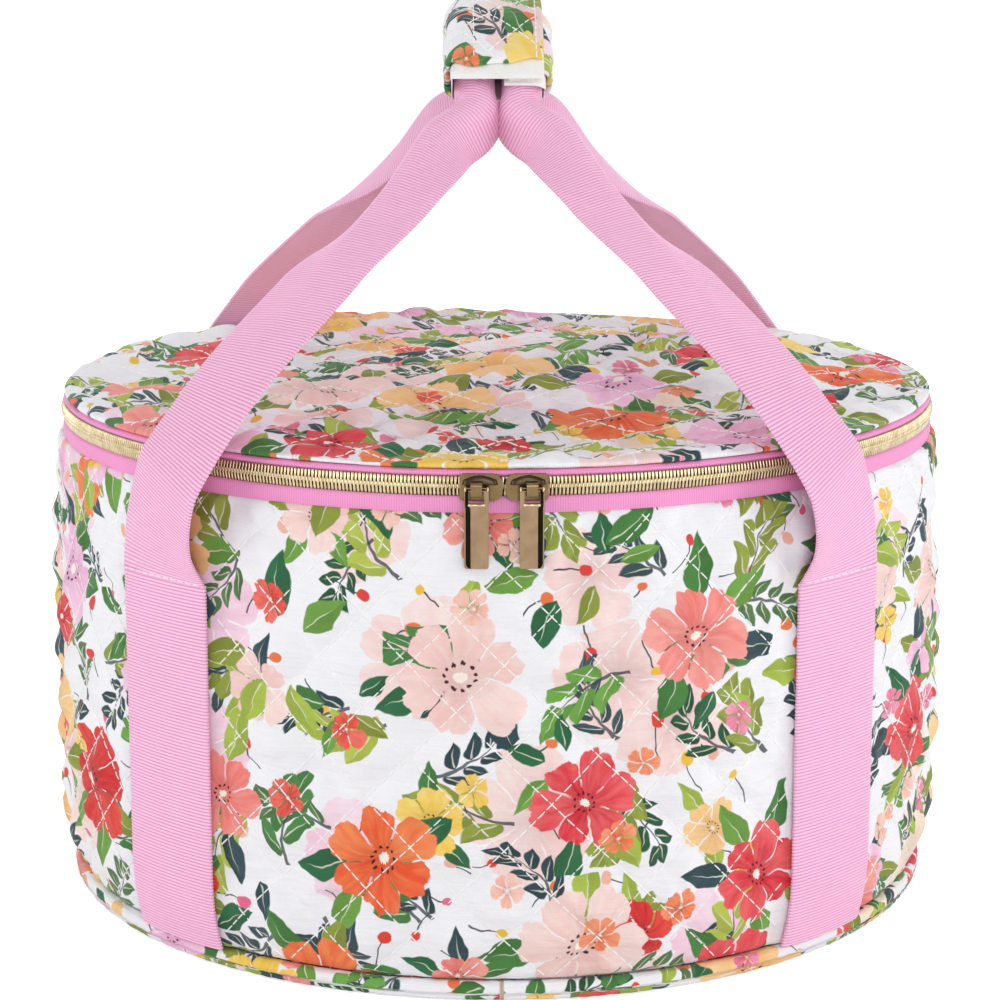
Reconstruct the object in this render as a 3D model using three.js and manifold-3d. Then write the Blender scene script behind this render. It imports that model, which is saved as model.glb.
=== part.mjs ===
// Round quilted casserole carrier with a zipped lid and two webbing handles joined by a wrap grip.
// Millimetres, +Z up. The origin is the middle of the base, on the floor. The front is -Y.
import * as THREE from "three";
import { mergeVertices } from "three/addons/utils/BufferGeometryUtils.js";
import Module from "manifold-3d";

// Fits
const FIT = 0.3; // gap between two pieces that lie on each other
const NEST_FIT = 0.6; // gap between round pieces that are cut into different facets
const RING_SEGMENTS = 48; // facets round the body

// Side wall: quilted panel outside, foam, lining inside
const BODY_RADIUS = 160.5;
const BODY_HEIGHT = 163;
const FOOT_DRAW_IN = 4; // how far the wall draws in at the base seam
const FOOT_RISE = 26; // height over which the foot rounds out
const MOUTH_DRAW_IN = 0.8; // how far the wall draws in at its top edge
const MOUTH_DROP = 16; // height over which the mouth draws in
const PANEL_THICKNESS = 2.6;
const FOAM_THICKNESS = 5.4;
const LINING_THICKNESS = 0.8;
const MOUTH_BINDING_HEIGHT = 1.5;

// Base: quilted panel, foam, stiffening board, lining, and the bound seam round it
const BASE_PANEL_THICKNESS = 3;
const BASE_FOAM_THICKNESS = 3.6;
const BASE_BOARD_THICKNESS = 1.6;
const BINDING_WIDTH = 5.5;
const BINDING_HEIGHT = 6;
const BINDING_LIFT = 0.6; // the bound seam stays clear of the floor
const BINDING_BULGE = 1; // how far the bound seam stands proud of the wall

// Zip chain: two tapes, two rows of teeth, and the fabric hinge that closes the gap at the back
const TAPE_THICKNESS = 1;
const TAPE_SEAM = 13; // hidden part of the lower tape, sewn into the wall
const LOWER_TAPE_REVEAL = 5.4;
const UPPER_TAPE_REVEAL = 2.2;
const TOOTH_ROW_HEIGHT = 2.5;
const TOOTH_DEPTH = 1;
const TOOTH_THICKNESS = 2.6;
const TOOTH_COUNT = 80;
const ROW_GAP = 0.9; // the rows are drawn just out of mesh, so that the lid can lift
const HINGE_ARC_DEG = 48;
const STOP_LENGTH = 3;

// Lid: quilted panel, foam and lining on the upper tape's flange
const LID_PANEL_THICKNESS = 2.6;
const LID_CROWN = 1.4;
const LID_FOAM_THICKNESS = 4;
const LID_EDGE_REVEAL = 1.5; // ring of tape that shows round the lid panel
const LID_SEAM_WIDTH = 7; // part of the tape's flange under the lid panel
const LID_LINING_MARGIN = 5.5; // from the middle of the tape in to the lining's edge

// Zip sliders and pulls
const SLIDER_FIT = 0.35;
const SLIDER_LENGTH = 13.5;
const SLIDER_HEIGHT = 8.6;
const SLIDER_PLATE_THICKNESS = 1;
const SLIDER_NOSE_RADIUS = 3.2;
const SLIDER_TAIL_RADIUS = 1.4;
const SLIDER_SPACING = 0.6; // gap between the two noses
const POST_LENGTH = 3.4;
const POST_SETBACK = 0.8;
const CROWN_OFFSET = 1.3; // the crown sits towards the tail
const CROWN_WIDTH = 3.6;
const CROWN_THICKNESS = 1;
const CROWN_ROUNDING = 0.9;
const PIVOT_STANDOFF = 2.9; // from the plate to the pull's axle
const AXLE_HEIGHT = 1.2;
const AXLE_PLAY = 0.65; // between the axle and the crown
const PULL_LENGTH = 25.8;
const PULL_WIDTH = 7.6;
const PULL_THICKNESS = 1.4;
const PULL_EYE_WIDTH = 4.8;
const PULL_EYE_HEIGHT = 4;
const PULL_CORNER_RADIUS = 0.8;

// Webbing handles
const WEBBING_WIDTH = 40;
const WEBBING_THICKNESS = 1.8;
const STRAP_AZIMUTH_DEG = 43.5; // sewn legs, from the front
const RIM_AZIMUTH_DEG = 36.8; // where the free strap passes the rim
const STITCH_HEIGHT = 133;
const STRAP_CLEARANCE = 3.6; // from the sliders' crowns out to the middle of the strap
const RIM_TWIST_DEG = 12; // the strap turns this much towards the side at the rim
const RIM_TILT_DEG = 30; // and leans back this much
// Free run from the rim to the grip: share of its length, way it faces from the front and up, share of its fold
const RUN_STATIONS = [
  [0.14, 59, 50, 0],
  [0.45, 62, 47, 0.08],
  [0.72, 68, 42, 0.36],
  [0.92, 62, 33, 0.76],
];
const FOLD_RADIUS = 6.2; // ridge of the strap where it is folded into the grip
const FOLD_RUN_OUT = 3; // length over which the strap stays folded past the grip
const MOUTH_SPREAD = 7; // how far the free run starts outside the fold

// Wrap grip
const GRIP_HEIGHT = 298; // middle of the grip's section at the top of its arch
const GRIP_LENGTH = 83;
const GRIP_ARCH_RADIUS = 46;
const GRIP_CORNER_RADIUS = 1.4; // inside; the outer layers add their distance
const STRAP_SPACING = 1.2; // between the two folded straps
const GRIP_PLAY = 1; // between the straps and the grip's lining
const RIDGE_RISE = 8; // strap ridge above the middle of the section
const GRIP_PAD_THICKNESS = 1.8;
const GRIP_LINING_THICKNESS = 0.5;
const PATCH_THICKNESS = 0.8;
const UNDERLAP = 14; // width of the pad's tongue under the flap
const FLAP_SETBACK = 2; // from the pad's right side back to the flap's free edge
const FLAP_HINGE_HEIGHT = 291; // straight line on the grip's left side, about which the flap opens
const PATCH_MARGIN = 1.5;

const FINISHES = {
  print: [0xf3e9ea, 0.8, 0],
  foam: [0xe9e7e2, 0.9, 0],
  lining: [0xf7f7f5, 0.6, 0],
  board: [0xcfc9bd, 0.7, 0],
  tape: [0xf29bcb, 0.75, 0],
  webbing: [0xf0a3cd, 0.8, 0],
  gold: [0xc9a86a, 0.28, 1],
  hookAndLoop: [0xf4f4f2, 0.95, 0],
};

// Levels and radii that follow from the sizes above
const basePanelTop = BASE_PANEL_THICKNESS;
const baseFoamTop = basePanelTop + FIT + BASE_FOAM_THICKNESS;
const baseBoardTop = baseFoamTop + FIT + BASE_BOARD_THICKNESS;
const baseLiningTop = baseBoardTop + FIT + LINING_THICKNESS;
const sideFoot = BINDING_LIFT + BINDING_HEIGHT + FIT;
const zipRadius = BODY_RADIUS - MOUTH_DRAW_IN - PANEL_THICKNESS - NEST_FIT - TAPE_THICKNESS / 2;
const lowerRowFoot = BODY_HEIGHT + LOWER_TAPE_REVEAL;
const chainHeight = lowerRowFoot + TOOTH_ROW_HEIGHT + ROW_GAP / 2;
const upperRowTop = chainHeight + ROW_GAP / 2 + TOOTH_ROW_HEIGHT;
const flangeTop = upperRowTop + FIT + UPPER_TAPE_REVEAL;
const tapeOuter = zipRadius + TAPE_THICKNESS / 2;
const tapeInner = zipRadius - TAPE_THICKNESS / 2;
const lidRadius = tapeOuter - LID_EDGE_REVEAL;
const flangeInner = lidRadius - LID_SEAM_WIDTH;
const hingeHalf = THREE.MathUtils.degToRad(HINGE_ARC_DEG) / 2;
const zipHalf = Math.PI - hingeHalf;
const plateOuter = zipRadius + TOOTH_THICKNESS / 2 + SLIDER_FIT + SLIDER_PLATE_THICKNESS;
const pivotRadius = plateOuter + PIVOT_STANDOFF;
const crownInner = AXLE_HEIGHT / 2 + AXLE_PLAY;
const crownReach = pivotRadius + crownInner + CROWN_THICKNESS;
const foldLeg = (WEBBING_WIDTH - Math.PI * FOLD_RADIUS) / 2;
const strapHalf = FOLD_RADIUS + WEBBING_THICKNESS / 2;
const gripStrapX = strapHalf + STRAP_SPACING / 2;
const gripHalfAngle = GRIP_LENGTH / 2 / GRIP_ARCH_RADIUS;
const foldHalfAngle = gripHalfAngle + FOLD_RUN_OUT / GRIP_ARCH_RADIUS;
const gripSide = gripStrapX + strapHalf + GRIP_PLAY;
const gripTop = RIDGE_RISE + WEBBING_THICKNESS / 2 + GRIP_PLAY;
const gripBottom = RIDGE_RISE - FOLD_RADIUS - foldLeg - GRIP_PLAY;

const wasm = await Module();
wasm.setup();
const part = new THREE.Group();
const rad = THREE.MathUtils.degToRad;

// A point by its angle from the front (positive to the right), its radius and its height.
function polar(azimuth, radius, height) {
  return new THREE.Vector3(radius * Math.sin(azimuth), -radius * Math.cos(azimuth), height);
}

function points2(pairs) {
  return pairs.map(([x, y]) => new THREE.Vector2(x, y));
}

function piece(name, geometry, finish, parent = part) {
  const [color, roughness, metalness] = FINISHES[finish];
  const mesh = new THREE.Mesh(geometry, new THREE.MeshStandardMaterial({ color, roughness, metalness }));
  mesh.name = name;
  parent.add(mesh);
  return mesh;
}

// The same surface with its faces turned outwards.
function facingOut(geometry) {
  const position = geometry.getAttribute("position");
  const index = geometry.index.array;
  const [a, b, c] = [new THREE.Vector3(), new THREE.Vector3(), new THREE.Vector3()];
  let volume = 0;
  for (let i = 0; i < index.length; i += 3) {
    a.fromBufferAttribute(position, index[i]);
    b.fromBufferAttribute(position, index[i + 1]);
    c.fromBufferAttribute(position, index[i + 2]);
    volume += a.dot(b.cross(c));
  }
  if (volume < 0) index.reverse();
  return geometry;
}

// A solid of revolution about Z. The outline of [radius, height] pairs closes on itself or on the axis.
function revolve(outline) {
  const onAxis = outline[0][0] === 0;
  const closed = onAxis ? outline : [...outline, outline[0]];
  const turned = new THREE.LatheGeometry(points2(closed), RING_SEGMENTS).rotateX(Math.PI / 2);
  return facingOut(turned);
}

function flatDisc(radius, bottom, top) {
  return revolve([
    [0, bottom],
    [radius, bottom],
    [radius, top],
    [0, top],
  ]);
}

// The closed outline of a band: one edge forwards, the other edge back.
function band(edge, otherEdge) {
  return [...edge, ...[...otherEdge].reverse()];
}

// A closed solid through matching bands: walls between neighbouring stations and a cap on each end.
function loft(bands, place) {
  const count = bands[0].length;
  const positions = bands.flatMap((outline, s) => outline.flatMap((p) => place(p, s).toArray()));
  const index = [];
  for (let s = 0; s + 1 < bands.length; s++) {
    for (let i = 0; i < count; i++) {
      const a = s * count + i;
      const b = s * count + ((i + 1) % count);
      index.push(a, b, b + count, a, b + count, a + count);
    }
  }
  const last = (bands.length - 1) * count;
  for (let i = 0; i + 1 < count / 2; i++) {
    const [far, near] = [count - 2 - i, count - 1 - i];
    index.push(i, far, i + 1, i, near, far);
    index.push(last + i, last + i + 1, last + far, last + i, last + far, last + near);
  }
  const geometry = new THREE.BufferGeometry();
  geometry.setAttribute("position", new THREE.Float32BufferAttribute(positions, 3));
  geometry.setIndex(index);
  return facingOut(geometry);
}

// A band of [radius, height] pairs swept round Z from one azimuth to another.
function sweep(from, to, steps, bandAt) {
  const bands = Array.from({ length: steps + 1 }, (_, s) => points2(bandAt(s)));
  return loft(bands, (p, s) => polar(from + ((to - from) * s) / steps, p.x, p.y));
}

// A line of points thickened by the same amount to both sides.
function thicken(line, thickness) {
  const shifted = (way) =>
    line.map((p, i) => {
      const before = line[Math.max(i - 1, 0)];
      const after = line[Math.min(i + 1, line.length - 1)];
      const first = p.clone().sub(before).normalize();
      const second = after.clone().sub(p).normalize();
      const along = first.add(second).normalize();
      const bend = i > 0 && i + 1 < line.length ? along.dot(second) : 1;
      const reach = (way * thickness) / 2 / bend;
      return new THREE.Vector2(p.x - along.y * reach, p.y + along.x * reach);
    });
  return band(shifted(1), shifted(-1));
}

// A line through corners, with each inner corner rounded in two steps.
function rounded(corners, radius) {
  return corners.flatMap((corner, i) => {
    if (i === 0 || i + 1 === corners.length) return [corner];
    const back = corners[i - 1].clone().sub(corner).normalize();
    const on = corners[i + 1].clone().sub(corner).normalize();
    const start = corner.clone().addScaledVector(back, radius);
    const end = corner.clone().addScaledVector(on, radius);
    const middle = corner.clone().addScaledVector(back.add(on), radius * (1 - Math.SQRT1_2));
    return [start, middle, end];
  });
}

// Solid booleans for the cast pieces

function toSolid(geometry) {
  const bare = new THREE.BufferGeometry();
  bare.setAttribute("position", geometry.getAttribute("position"));
  if (geometry.index) bare.setIndex(geometry.index);
  const merged = mergeVertices(bare, 1e-4);
  return new wasm.Manifold(
    new wasm.Mesh({
      numProp: 3,
      vertProperties: Float32Array.from(merged.getAttribute("position").array),
      triVerts: Uint32Array.from(merged.index.array),
    })
  );
}

function fromSolid(solid) {
  const mesh = solid.getMesh();
  const geometry = new THREE.BufferGeometry();
  geometry.setAttribute("position", new THREE.Float32BufferAttribute(Array.from(mesh.vertProperties), 3));
  geometry.setIndex(Array.from(mesh.triVerts));
  return geometry;
}

function joined(geometries) {
  return fromSolid(geometries.map(toSolid).reduce((whole, next) => whole.add(next)));
}

// A flat shape drawn in X and Z, as deep as from one radius (Y) to another.
function plate(shape, from, to) {
  const options = { depth: to - from, bevelEnabled: false, curveSegments: 2 };
  return new THREE.ExtrudeGeometry(shape, options).rotateX(Math.PI / 2).translate(0, to, 0);
}

// A rectangle in a shape's own plane with one corner radius on its left and another on its right.
function roundedRect(left, right, bottom, top, leftRadius, rightRadius) {
  const shape = new THREE.Shape();
  shape.moveTo(left + leftRadius, bottom);
  shape.lineTo(right - rightRadius, bottom);
  shape.absarc(right - rightRadius, bottom + rightRadius, rightRadius, -Math.PI / 2, 0);
  shape.absarc(right - rightRadius, top - rightRadius, rightRadius, 0, Math.PI / 2);
  shape.absarc(left + leftRadius, top - leftRadius, leftRadius, Math.PI / 2, Math.PI);
  shape.absarc(left + leftRadius, bottom + leftRadius, leftRadius, Math.PI, 1.5 * Math.PI);
  return shape;
}

// Body

function panelRadius(height) {
  const foot = THREE.MathUtils.clamp((height - sideFoot) / FOOT_RISE, 0, 1);
  const mouth = THREE.MathUtils.clamp((BODY_HEIGHT - height) / MOUTH_DROP, 0, 1);
  return BODY_RADIUS - FOOT_DRAW_IN * (1 - foot) ** 2 - MOUTH_DRAW_IN * (1 - mouth) ** 2;
}

function wallHeights(low, high) {
  const foot = [0, 0.3, 0.65, 1].map((share) => sideFoot + FOOT_RISE * share);
  const mouth = [1, 0].map((share) => BODY_HEIGHT - MOUTH_DROP * share);
  const between = [...foot, ...mouth].filter((z) => z > low + 1 && z < high - 1);
  return [low, ...between, high];
}

// One layer of the side wall, by its depth under the panel's outer face.
function wallLayer(low, high, outerDepth, innerDepth) {
  const heights = wallHeights(low, high);
  const outer = heights.map((z) => [panelRadius(z) - outerDepth, z]);
  const inner = heights.map((z) => [panelRadius(z) - innerDepth, z]);
  return band(outer, inner);
}

const foamDepth = PANEL_THICKNESS + FIT;
const liningDepth = foamDepth + FOAM_THICKNESS + FIT;
const wallDepth = liningDepth + LINING_THICKNESS;

function addSideWall() {
  const tapeFoot = BODY_HEIGHT - TAPE_SEAM;
  const rebate = tapeInner - NEST_FIT;
  const foamFoot = baseFoamTop + FIT;
  const heights = wallHeights(foamFoot, tapeFoot - FIT);
  const foamOuter = heights.map((z) => [panelRadius(z) - foamDepth, z]);
  const foamInner = (z) => [panelRadius(z) - foamDepth - FOAM_THICKNESS, z];
  const foam = [
    ...foamOuter,
    [rebate, tapeFoot - FIT],
    [rebate, BODY_HEIGHT],
    foamInner(BODY_HEIGHT),
    ...[...heights].reverse().map(foamInner),
  ];
  piece("side_panel", revolve(wallLayer(sideFoot, BODY_HEIGHT, 0, PANEL_THICKNESS)), "print");
  piece("side_insulation", revolve(foam), "foam");
  piece("side_lining", revolve(wallLayer(baseLiningTop + FIT, BODY_HEIGHT, liningDepth, wallDepth)), "lining");
  const mouthInner = panelRadius(BODY_HEIGHT) - wallDepth;
  const bindingFoot = BODY_HEIGHT + FIT;
  const mouthBinding = band(
    [[mouthInner, bindingFoot], [mouthInner, bindingFoot + MOUTH_BINDING_HEIGHT]],
    [[rebate, bindingFoot], [rebate, bindingFoot + MOUTH_BINDING_HEIGHT]]
  );
  piece("mouth_binding", revolve(mouthBinding), "lining");
}

function addBase() {
  const footRadius = panelRadius(sideFoot);
  const bindingOuter = footRadius + BINDING_BULGE;
  const bindingInner = bindingOuter - BINDING_WIDTH;
  const bindingTop = BINDING_LIFT + BINDING_HEIGHT;
  const round = BINDING_HEIGHT * 0.3;
  const binding = [
    [bindingInner, BINDING_LIFT],
    [bindingOuter - round, BINDING_LIFT],
    [bindingOuter, BINDING_LIFT + round],
    [bindingOuter, bindingTop - round],
    [bindingOuter - round, bindingTop],
    [bindingInner, bindingTop],
  ];
  const outerRadius = bindingInner - FIT;
  const innerRadius = footRadius - foamDepth - FOAM_THICKNESS - FIT;
  piece("base_panel", flatDisc(outerRadius, 0, basePanelTop), "print");
  piece("base_insulation", flatDisc(outerRadius, basePanelTop + FIT, baseFoamTop), "foam");
  piece("base_board", flatDisc(innerRadius, baseFoamTop + FIT, baseBoardTop), "board");
  piece("base_lining", flatDisc(innerRadius, baseBoardTop + FIT, baseLiningTop), "lining");
  piece("base_binding", revolve(binding), "print");
}

// Zip chain

// One row of pointed teeth: a ring section whose free edge alternates between tip and root.
function toothRow(foot, tip, root) {
  const half = zipHalf - (STOP_LENGTH + 2 * FIT) / zipRadius;
  const [inner, outer] = [zipRadius - TOOTH_THICKNESS / 2, zipRadius + TOOTH_THICKNESS / 2];
  return sweep(-half, half, TOOTH_COUNT * 2, (s) => {
    const edge = s % 2 === 0 ? root : tip;
    return band([[inner, foot], [inner, edge]], [[outer, foot], [outer, edge]]);
  });
}

function addZipChain() {
  const steps = RING_SEGMENTS - 8;
  const tapeTop = lowerRowFoot - FIT;
  const tapeFoot = BODY_HEIGHT - TAPE_SEAM;
  const lowerTip = lowerRowFoot + TOOTH_ROW_HEIGHT;
  const upperTip = chainHeight + ROW_GAP / 2;
  const reach = zipHalf - FIT / zipRadius;
  const lowerTape = band([[tapeOuter, tapeFoot], [tapeOuter, tapeTop]], [[tapeInner, tapeFoot], [tapeInner, tapeTop]]);
  const flange = (foot) =>
    band(
      [[tapeOuter, foot], [tapeOuter, flangeTop], [flangeInner, flangeTop]],
      [[tapeInner, foot], [tapeInner, flangeTop - TAPE_THICKNESS], [flangeInner, flangeTop - TAPE_THICKNESS]]
    );
  piece("lower_zipper_tape", sweep(-reach, reach, steps, () => lowerTape), "tape");
  piece("upper_zipper_tape", sweep(-reach, reach, steps, () => flange(upperRowTop + FIT)), "tape");
  piece("lower_zipper_teeth", toothRow(lowerRowFoot, lowerTip, lowerTip - TOOTH_DEPTH), "gold");
  piece("upper_zipper_teeth", toothRow(upperRowTop, upperTip, upperTip + TOOTH_DEPTH), "gold");
  const back = hingeHalf - FIT / zipRadius;
  const hinge = sweep(Math.PI - back, Math.PI + back, 8, () => flange(tapeFoot));
  piece("hinge_strip", hinge, "print");
  const stopArc = STOP_LENGTH / zipRadius;
  for (const [name, side] of [["left_zipper_stop", -1], ["right_zipper_stop", 1]]) {
    const half = TOOTH_THICKNESS / 2;
    const stop = band(
      [[zipRadius - half, lowerRowFoot], [zipRadius - half, lowerTip]],
      [[zipRadius + half, lowerRowFoot], [zipRadius + half, lowerTip]]
    );
    const end = side * (zipHalf - FIT / zipRadius);
    piece(name, sweep(end - side * stopArc, end, 1, () => stop), "gold");
  }
}

// Lid

function addLid() {
  const panelFoot = flangeTop + FIT;
  const edgeTop = panelFoot + LID_PANEL_THICKNESS;
  const foamFoot = flangeTop - LID_FOAM_THICKNESS;
  const liningTop = foamFoot - FIT;
  const liningRadius = zipRadius - LID_LINING_MARGIN;
  const crowned = [
    [0, panelFoot],
    [lidRadius, panelFoot],
    [lidRadius, edgeTop - LID_PANEL_THICKNESS * 0.4],
    [lidRadius - LID_PANEL_THICKNESS, edgeTop],
    [lidRadius * 0.6, edgeTop + LID_CROWN * 0.8],
    [0, edgeTop + LID_CROWN],
  ];
  const bindingTop = flangeTop - TAPE_THICKNESS - FIT;
  const binding = band(
    [[flangeInner, foamFoot], [flangeInner, bindingTop]],
    [[liningRadius, foamFoot], [liningRadius, bindingTop]]
  );
  piece("lid_panel", revolve(crowned), "print");
  piece("lid_insulation", flatDisc(flangeInner - NEST_FIT, foamFoot, flangeTop), "foam");
  piece("lid_lining", flatDisc(liningRadius, liningTop - LINING_THICKNESS, liningTop), "lining");
  piece("lid_binding", revolve(binding), "lining");
}

// Sliders and pulls, drawn about the chain's middle with Y as the radius; the tail points along tailWay

function sliderGeometry(tailWay) {
  const half = SLIDER_HEIGHT / 2;
  const [nose, tail] = [-SLIDER_LENGTH / 2, SLIDER_LENGTH / 2];
  const ends = tailWay > 0 ? [SLIDER_NOSE_RADIUS, SLIDER_TAIL_RADIUS] : [SLIDER_TAIL_RADIUS, SLIDER_NOSE_RADIUS];
  const outline = roundedRect(nose, tail, -half, half, ...ends);
  const plateInner = plateOuter - SLIDER_PLATE_THICKNESS;
  const sag = zipRadius - Math.sqrt(zipRadius ** 2 - tail ** 2);
  const backOuter = zipRadius - TOOTH_THICKNESS / 2 - sag - SLIDER_FIT;
  const backInner = backOuter - SLIDER_PLATE_THICKNESS;
  const backHalf = Math.min(half, flangeTop - TAPE_THICKNESS - SLIDER_FIT - chainHeight);
  const backOutline = roundedRect(nose, tail, -half, backHalf, ...ends);
  const lipTop = lowerRowFoot - SLIDER_FIT - chainHeight;
  const lipLength = SLIDER_LENGTH / 2 - Math.max(SLIDER_NOSE_RADIUS, SLIDER_TAIL_RADIUS);
  const lip = roundedRect(-lipLength, lipLength, -half, lipTop, 0.2, 0.2);
  const postEdge = tailWay * (nose + POST_SETBACK);
  const postEnds = [postEdge, postEdge + tailWay * POST_LENGTH].sort((a, b) => a - b);
  const postHalf = ROW_GAP / 2 - 0.25;
  const post = roundedRect(...postEnds, -postHalf, postHalf, 0.05, 0.05);
  const crownDepth = crownReach - plateOuter;
  const crownHalf = crownInner + CROWN_THICKNESS;
  const crown = roundedRect(-1, crownDepth, -crownHalf, crownHalf, 0.1, CROWN_ROUNDING);
  crown.holes.push(roundedRect(-0.5, crownDepth - CROWN_THICKNESS, -crownInner, crownInner, 0.1, 0.1));
  const basis = new THREE.Matrix4().makeBasis(
    new THREE.Vector3(0, 1, 0),
    new THREE.Vector3(0, 0, 1),
    new THREE.Vector3(1, 0, 0)
  );
  const arch = new THREE.ExtrudeGeometry(crown, { depth: CROWN_WIDTH, bevelEnabled: false, curveSegments: 2 })
    .applyMatrix4(basis)
    .translate(tailWay * CROWN_OFFSET - CROWN_WIDTH / 2, plateOuter, 0);
  return joined([
    plate(outline, plateInner, plateOuter),
    plate(backOutline, backInner, backOuter),
    plate(lip, zipRadius + TAPE_THICKNESS / 2 + SLIDER_FIT, plateInner + 0.1),
    plate(lip, backOuter - 0.1, zipRadius - TAPE_THICKNESS / 2 - sag - SLIDER_FIT),
    plate(post, backOuter - 0.1, plateInner + 0.1),
    arch,
  ]);
}

function pullGeometry() {
  const half = PULL_WIDTH / 2;
  const top = AXLE_HEIGHT / 2;
  const shape = roundedRect(-half, half, top - PULL_LENGTH, top, PULL_CORNER_RADIUS, PULL_CORNER_RADIUS);
  const eye = PULL_EYE_WIDTH / 2;
  shape.holes.push(roundedRect(-eye, eye, -top - PULL_EYE_HEIGHT, -top, 0.3, 0.3));
  return plate(shape, pivotRadius - PULL_THICKNESS / 2, pivotRadius + PULL_THICKNESS / 2);
}

function addSliders() {
  const azimuth = (SLIDER_SPACING + SLIDER_LENGTH) / 2 / zipRadius;
  for (const [side, name, tailWay] of [[-1, "left", 1], [1, "right", -1]]) {
    const carriage = new THREE.Group();
    carriage.rotation.z = Math.PI + side * azimuth;
    carriage.position.z = chainHeight;
    part.add(carriage);
    piece(`${name}_slider`, sliderGeometry(tailWay), "gold", carriage);
    const pull = piece(`${name}_pull`, pullGeometry(), "gold", carriage);
    pull.position.x = tailWay * CROWN_OFFSET;
  }
}

// Straps

function addStrapLegs() {
  const steps = 4;
  const places = [["front_left", -1, 0], ["front_right", 1, 0], ["back_left", -1, 1], ["back_right", 1, 1]];
  for (const [name, side, atBack] of places) {
    const fromFront = side * rad(STRAP_AZIMUTH_DEG);
    const azimuth = atBack ? Math.PI - fromFront : fromFront;
    const heights = wallHeights(sideFoot, STITCH_HEIGHT);
    const across = Array.from({ length: steps + 1 }, (_, i) => WEBBING_WIDTH * (i / steps - 0.5));
    const inner = across.map((u) => [u, FIT]);
    const outer = across.map((u) => [u, FIT + WEBBING_THICKNESS]);
    const bands = heights.map(() => points2(band(inner, outer)));
    const place = (p, s) => polar(azimuth + p.x / BODY_RADIUS, panelRadius(heights[s]) + p.y, heights[s]);
    piece(`${name}_strap_leg`, loft(bands, place), "webbing");
  }
}

// A point on the grip's arch, by its angle towards the front and its height over the middle of the section.
function archPoint(x, angle, rise) {
  const radius = GRIP_ARCH_RADIUS + rise;
  const centre = GRIP_HEIGHT - GRIP_ARCH_RADIUS;
  return new THREE.Vector3(x, -radius * Math.sin(angle), centre + radius * Math.cos(angle));
}

// Stations of the right strap from the front stitch line to the top: place, way it faces, and share of its fold.
function quarterStations() {
  const [sewn, rim] = [rad(STRAP_AZIMUTH_DEG), rad(RIM_AZIMUTH_DEG)];
  const sewnRadius = panelRadius(STITCH_HEIGHT) + FIT + WEBBING_THICKNESS / 2;
  const rimRadius = crownReach + STRAP_CLEARANCE;
  const rise = chainHeight - STITCH_HEIGHT;
  const [twist, lean] = [rad(RIM_TWIST_DEG), rad(RIM_TILT_DEG)];
  const facing = (azimuth, tilt) => polar(azimuth, Math.cos(tilt), Math.sin(tilt));
  const between = (share) => sewn + (rim - sewn) * share;
  const station = (at, face, fold) => ({ at, face, fold });
  const leg = [
    station(polar(sewn, sewnRadius, STITCH_HEIGHT + FIT), facing(sewn, 0), 0),
    station(
      polar(between(0.12), sewnRadius + (rimRadius - sewnRadius) * 0.6, STITCH_HEIGHT + rise * 0.4),
      facing(between(0.12) + twist * 0.25, 0),
      0
    ),
    station(
      polar(between(0.55), rimRadius, chainHeight - rise * 0.1),
      facing(between(0.55) + twist * 0.6, lean * 0.15),
      0
    ),
    station(polar(rim, rimRadius - 1, chainHeight + rise * 0.15), facing(rim + twist, lean), 0),
  ];
  const runEnd = archPoint(gripStrapX + MOUTH_SPREAD, foldHalfAngle, RIDGE_RISE);
  const runStart = polar(rim, rimRadius - 3, chainHeight + rise * 0.25);
  const run = RUN_STATIONS.map(([share, azimuth, up, fold]) =>
    station(runStart.clone().lerp(runEnd, share), facing(rad(azimuth), rad(up)), fold)
  );
  const arch = [foldHalfAngle, gripHalfAngle * 0.9, gripHalfAngle / 2, 0].map((angle) => {
    return station(
      archPoint(gripStrapX, angle, RIDGE_RISE),
      new THREE.Vector3(0, -Math.sin(angle), Math.cos(angle)),
      1
    );
  });
  return [...leg, ...run, ...arch];
}

// The strap's section: flat, or bent over a ridge by the given angle.
function strapSection(bend) {
  const across = [-1, -0.5, -0.25, 0, 0.25, 0.5, 1].map((share) => (share * WEBBING_WIDTH) / 2);
  const curved = (FOLD_RADIUS * bend) / 2;
  const edge = (offset) =>
    across.map((w) => {
      const angle = THREE.MathUtils.clamp(w, -curved, curved) / FOLD_RADIUS;
      const straight = Math.max(Math.abs(w) - curved, 0) * Math.sign(w);
      const x = (FOLD_RADIUS + offset) * Math.sin(angle) + straight * Math.cos(angle);
      const drop = (FOLD_RADIUS + offset) * Math.cos(angle) - FOLD_RADIUS - straight * Math.sin(angle);
      return new THREE.Vector2(x, drop);
    });
  return band(edge(WEBBING_THICKNESS / 2), edge(-WEBBING_THICKNESS / 2));
}

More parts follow.
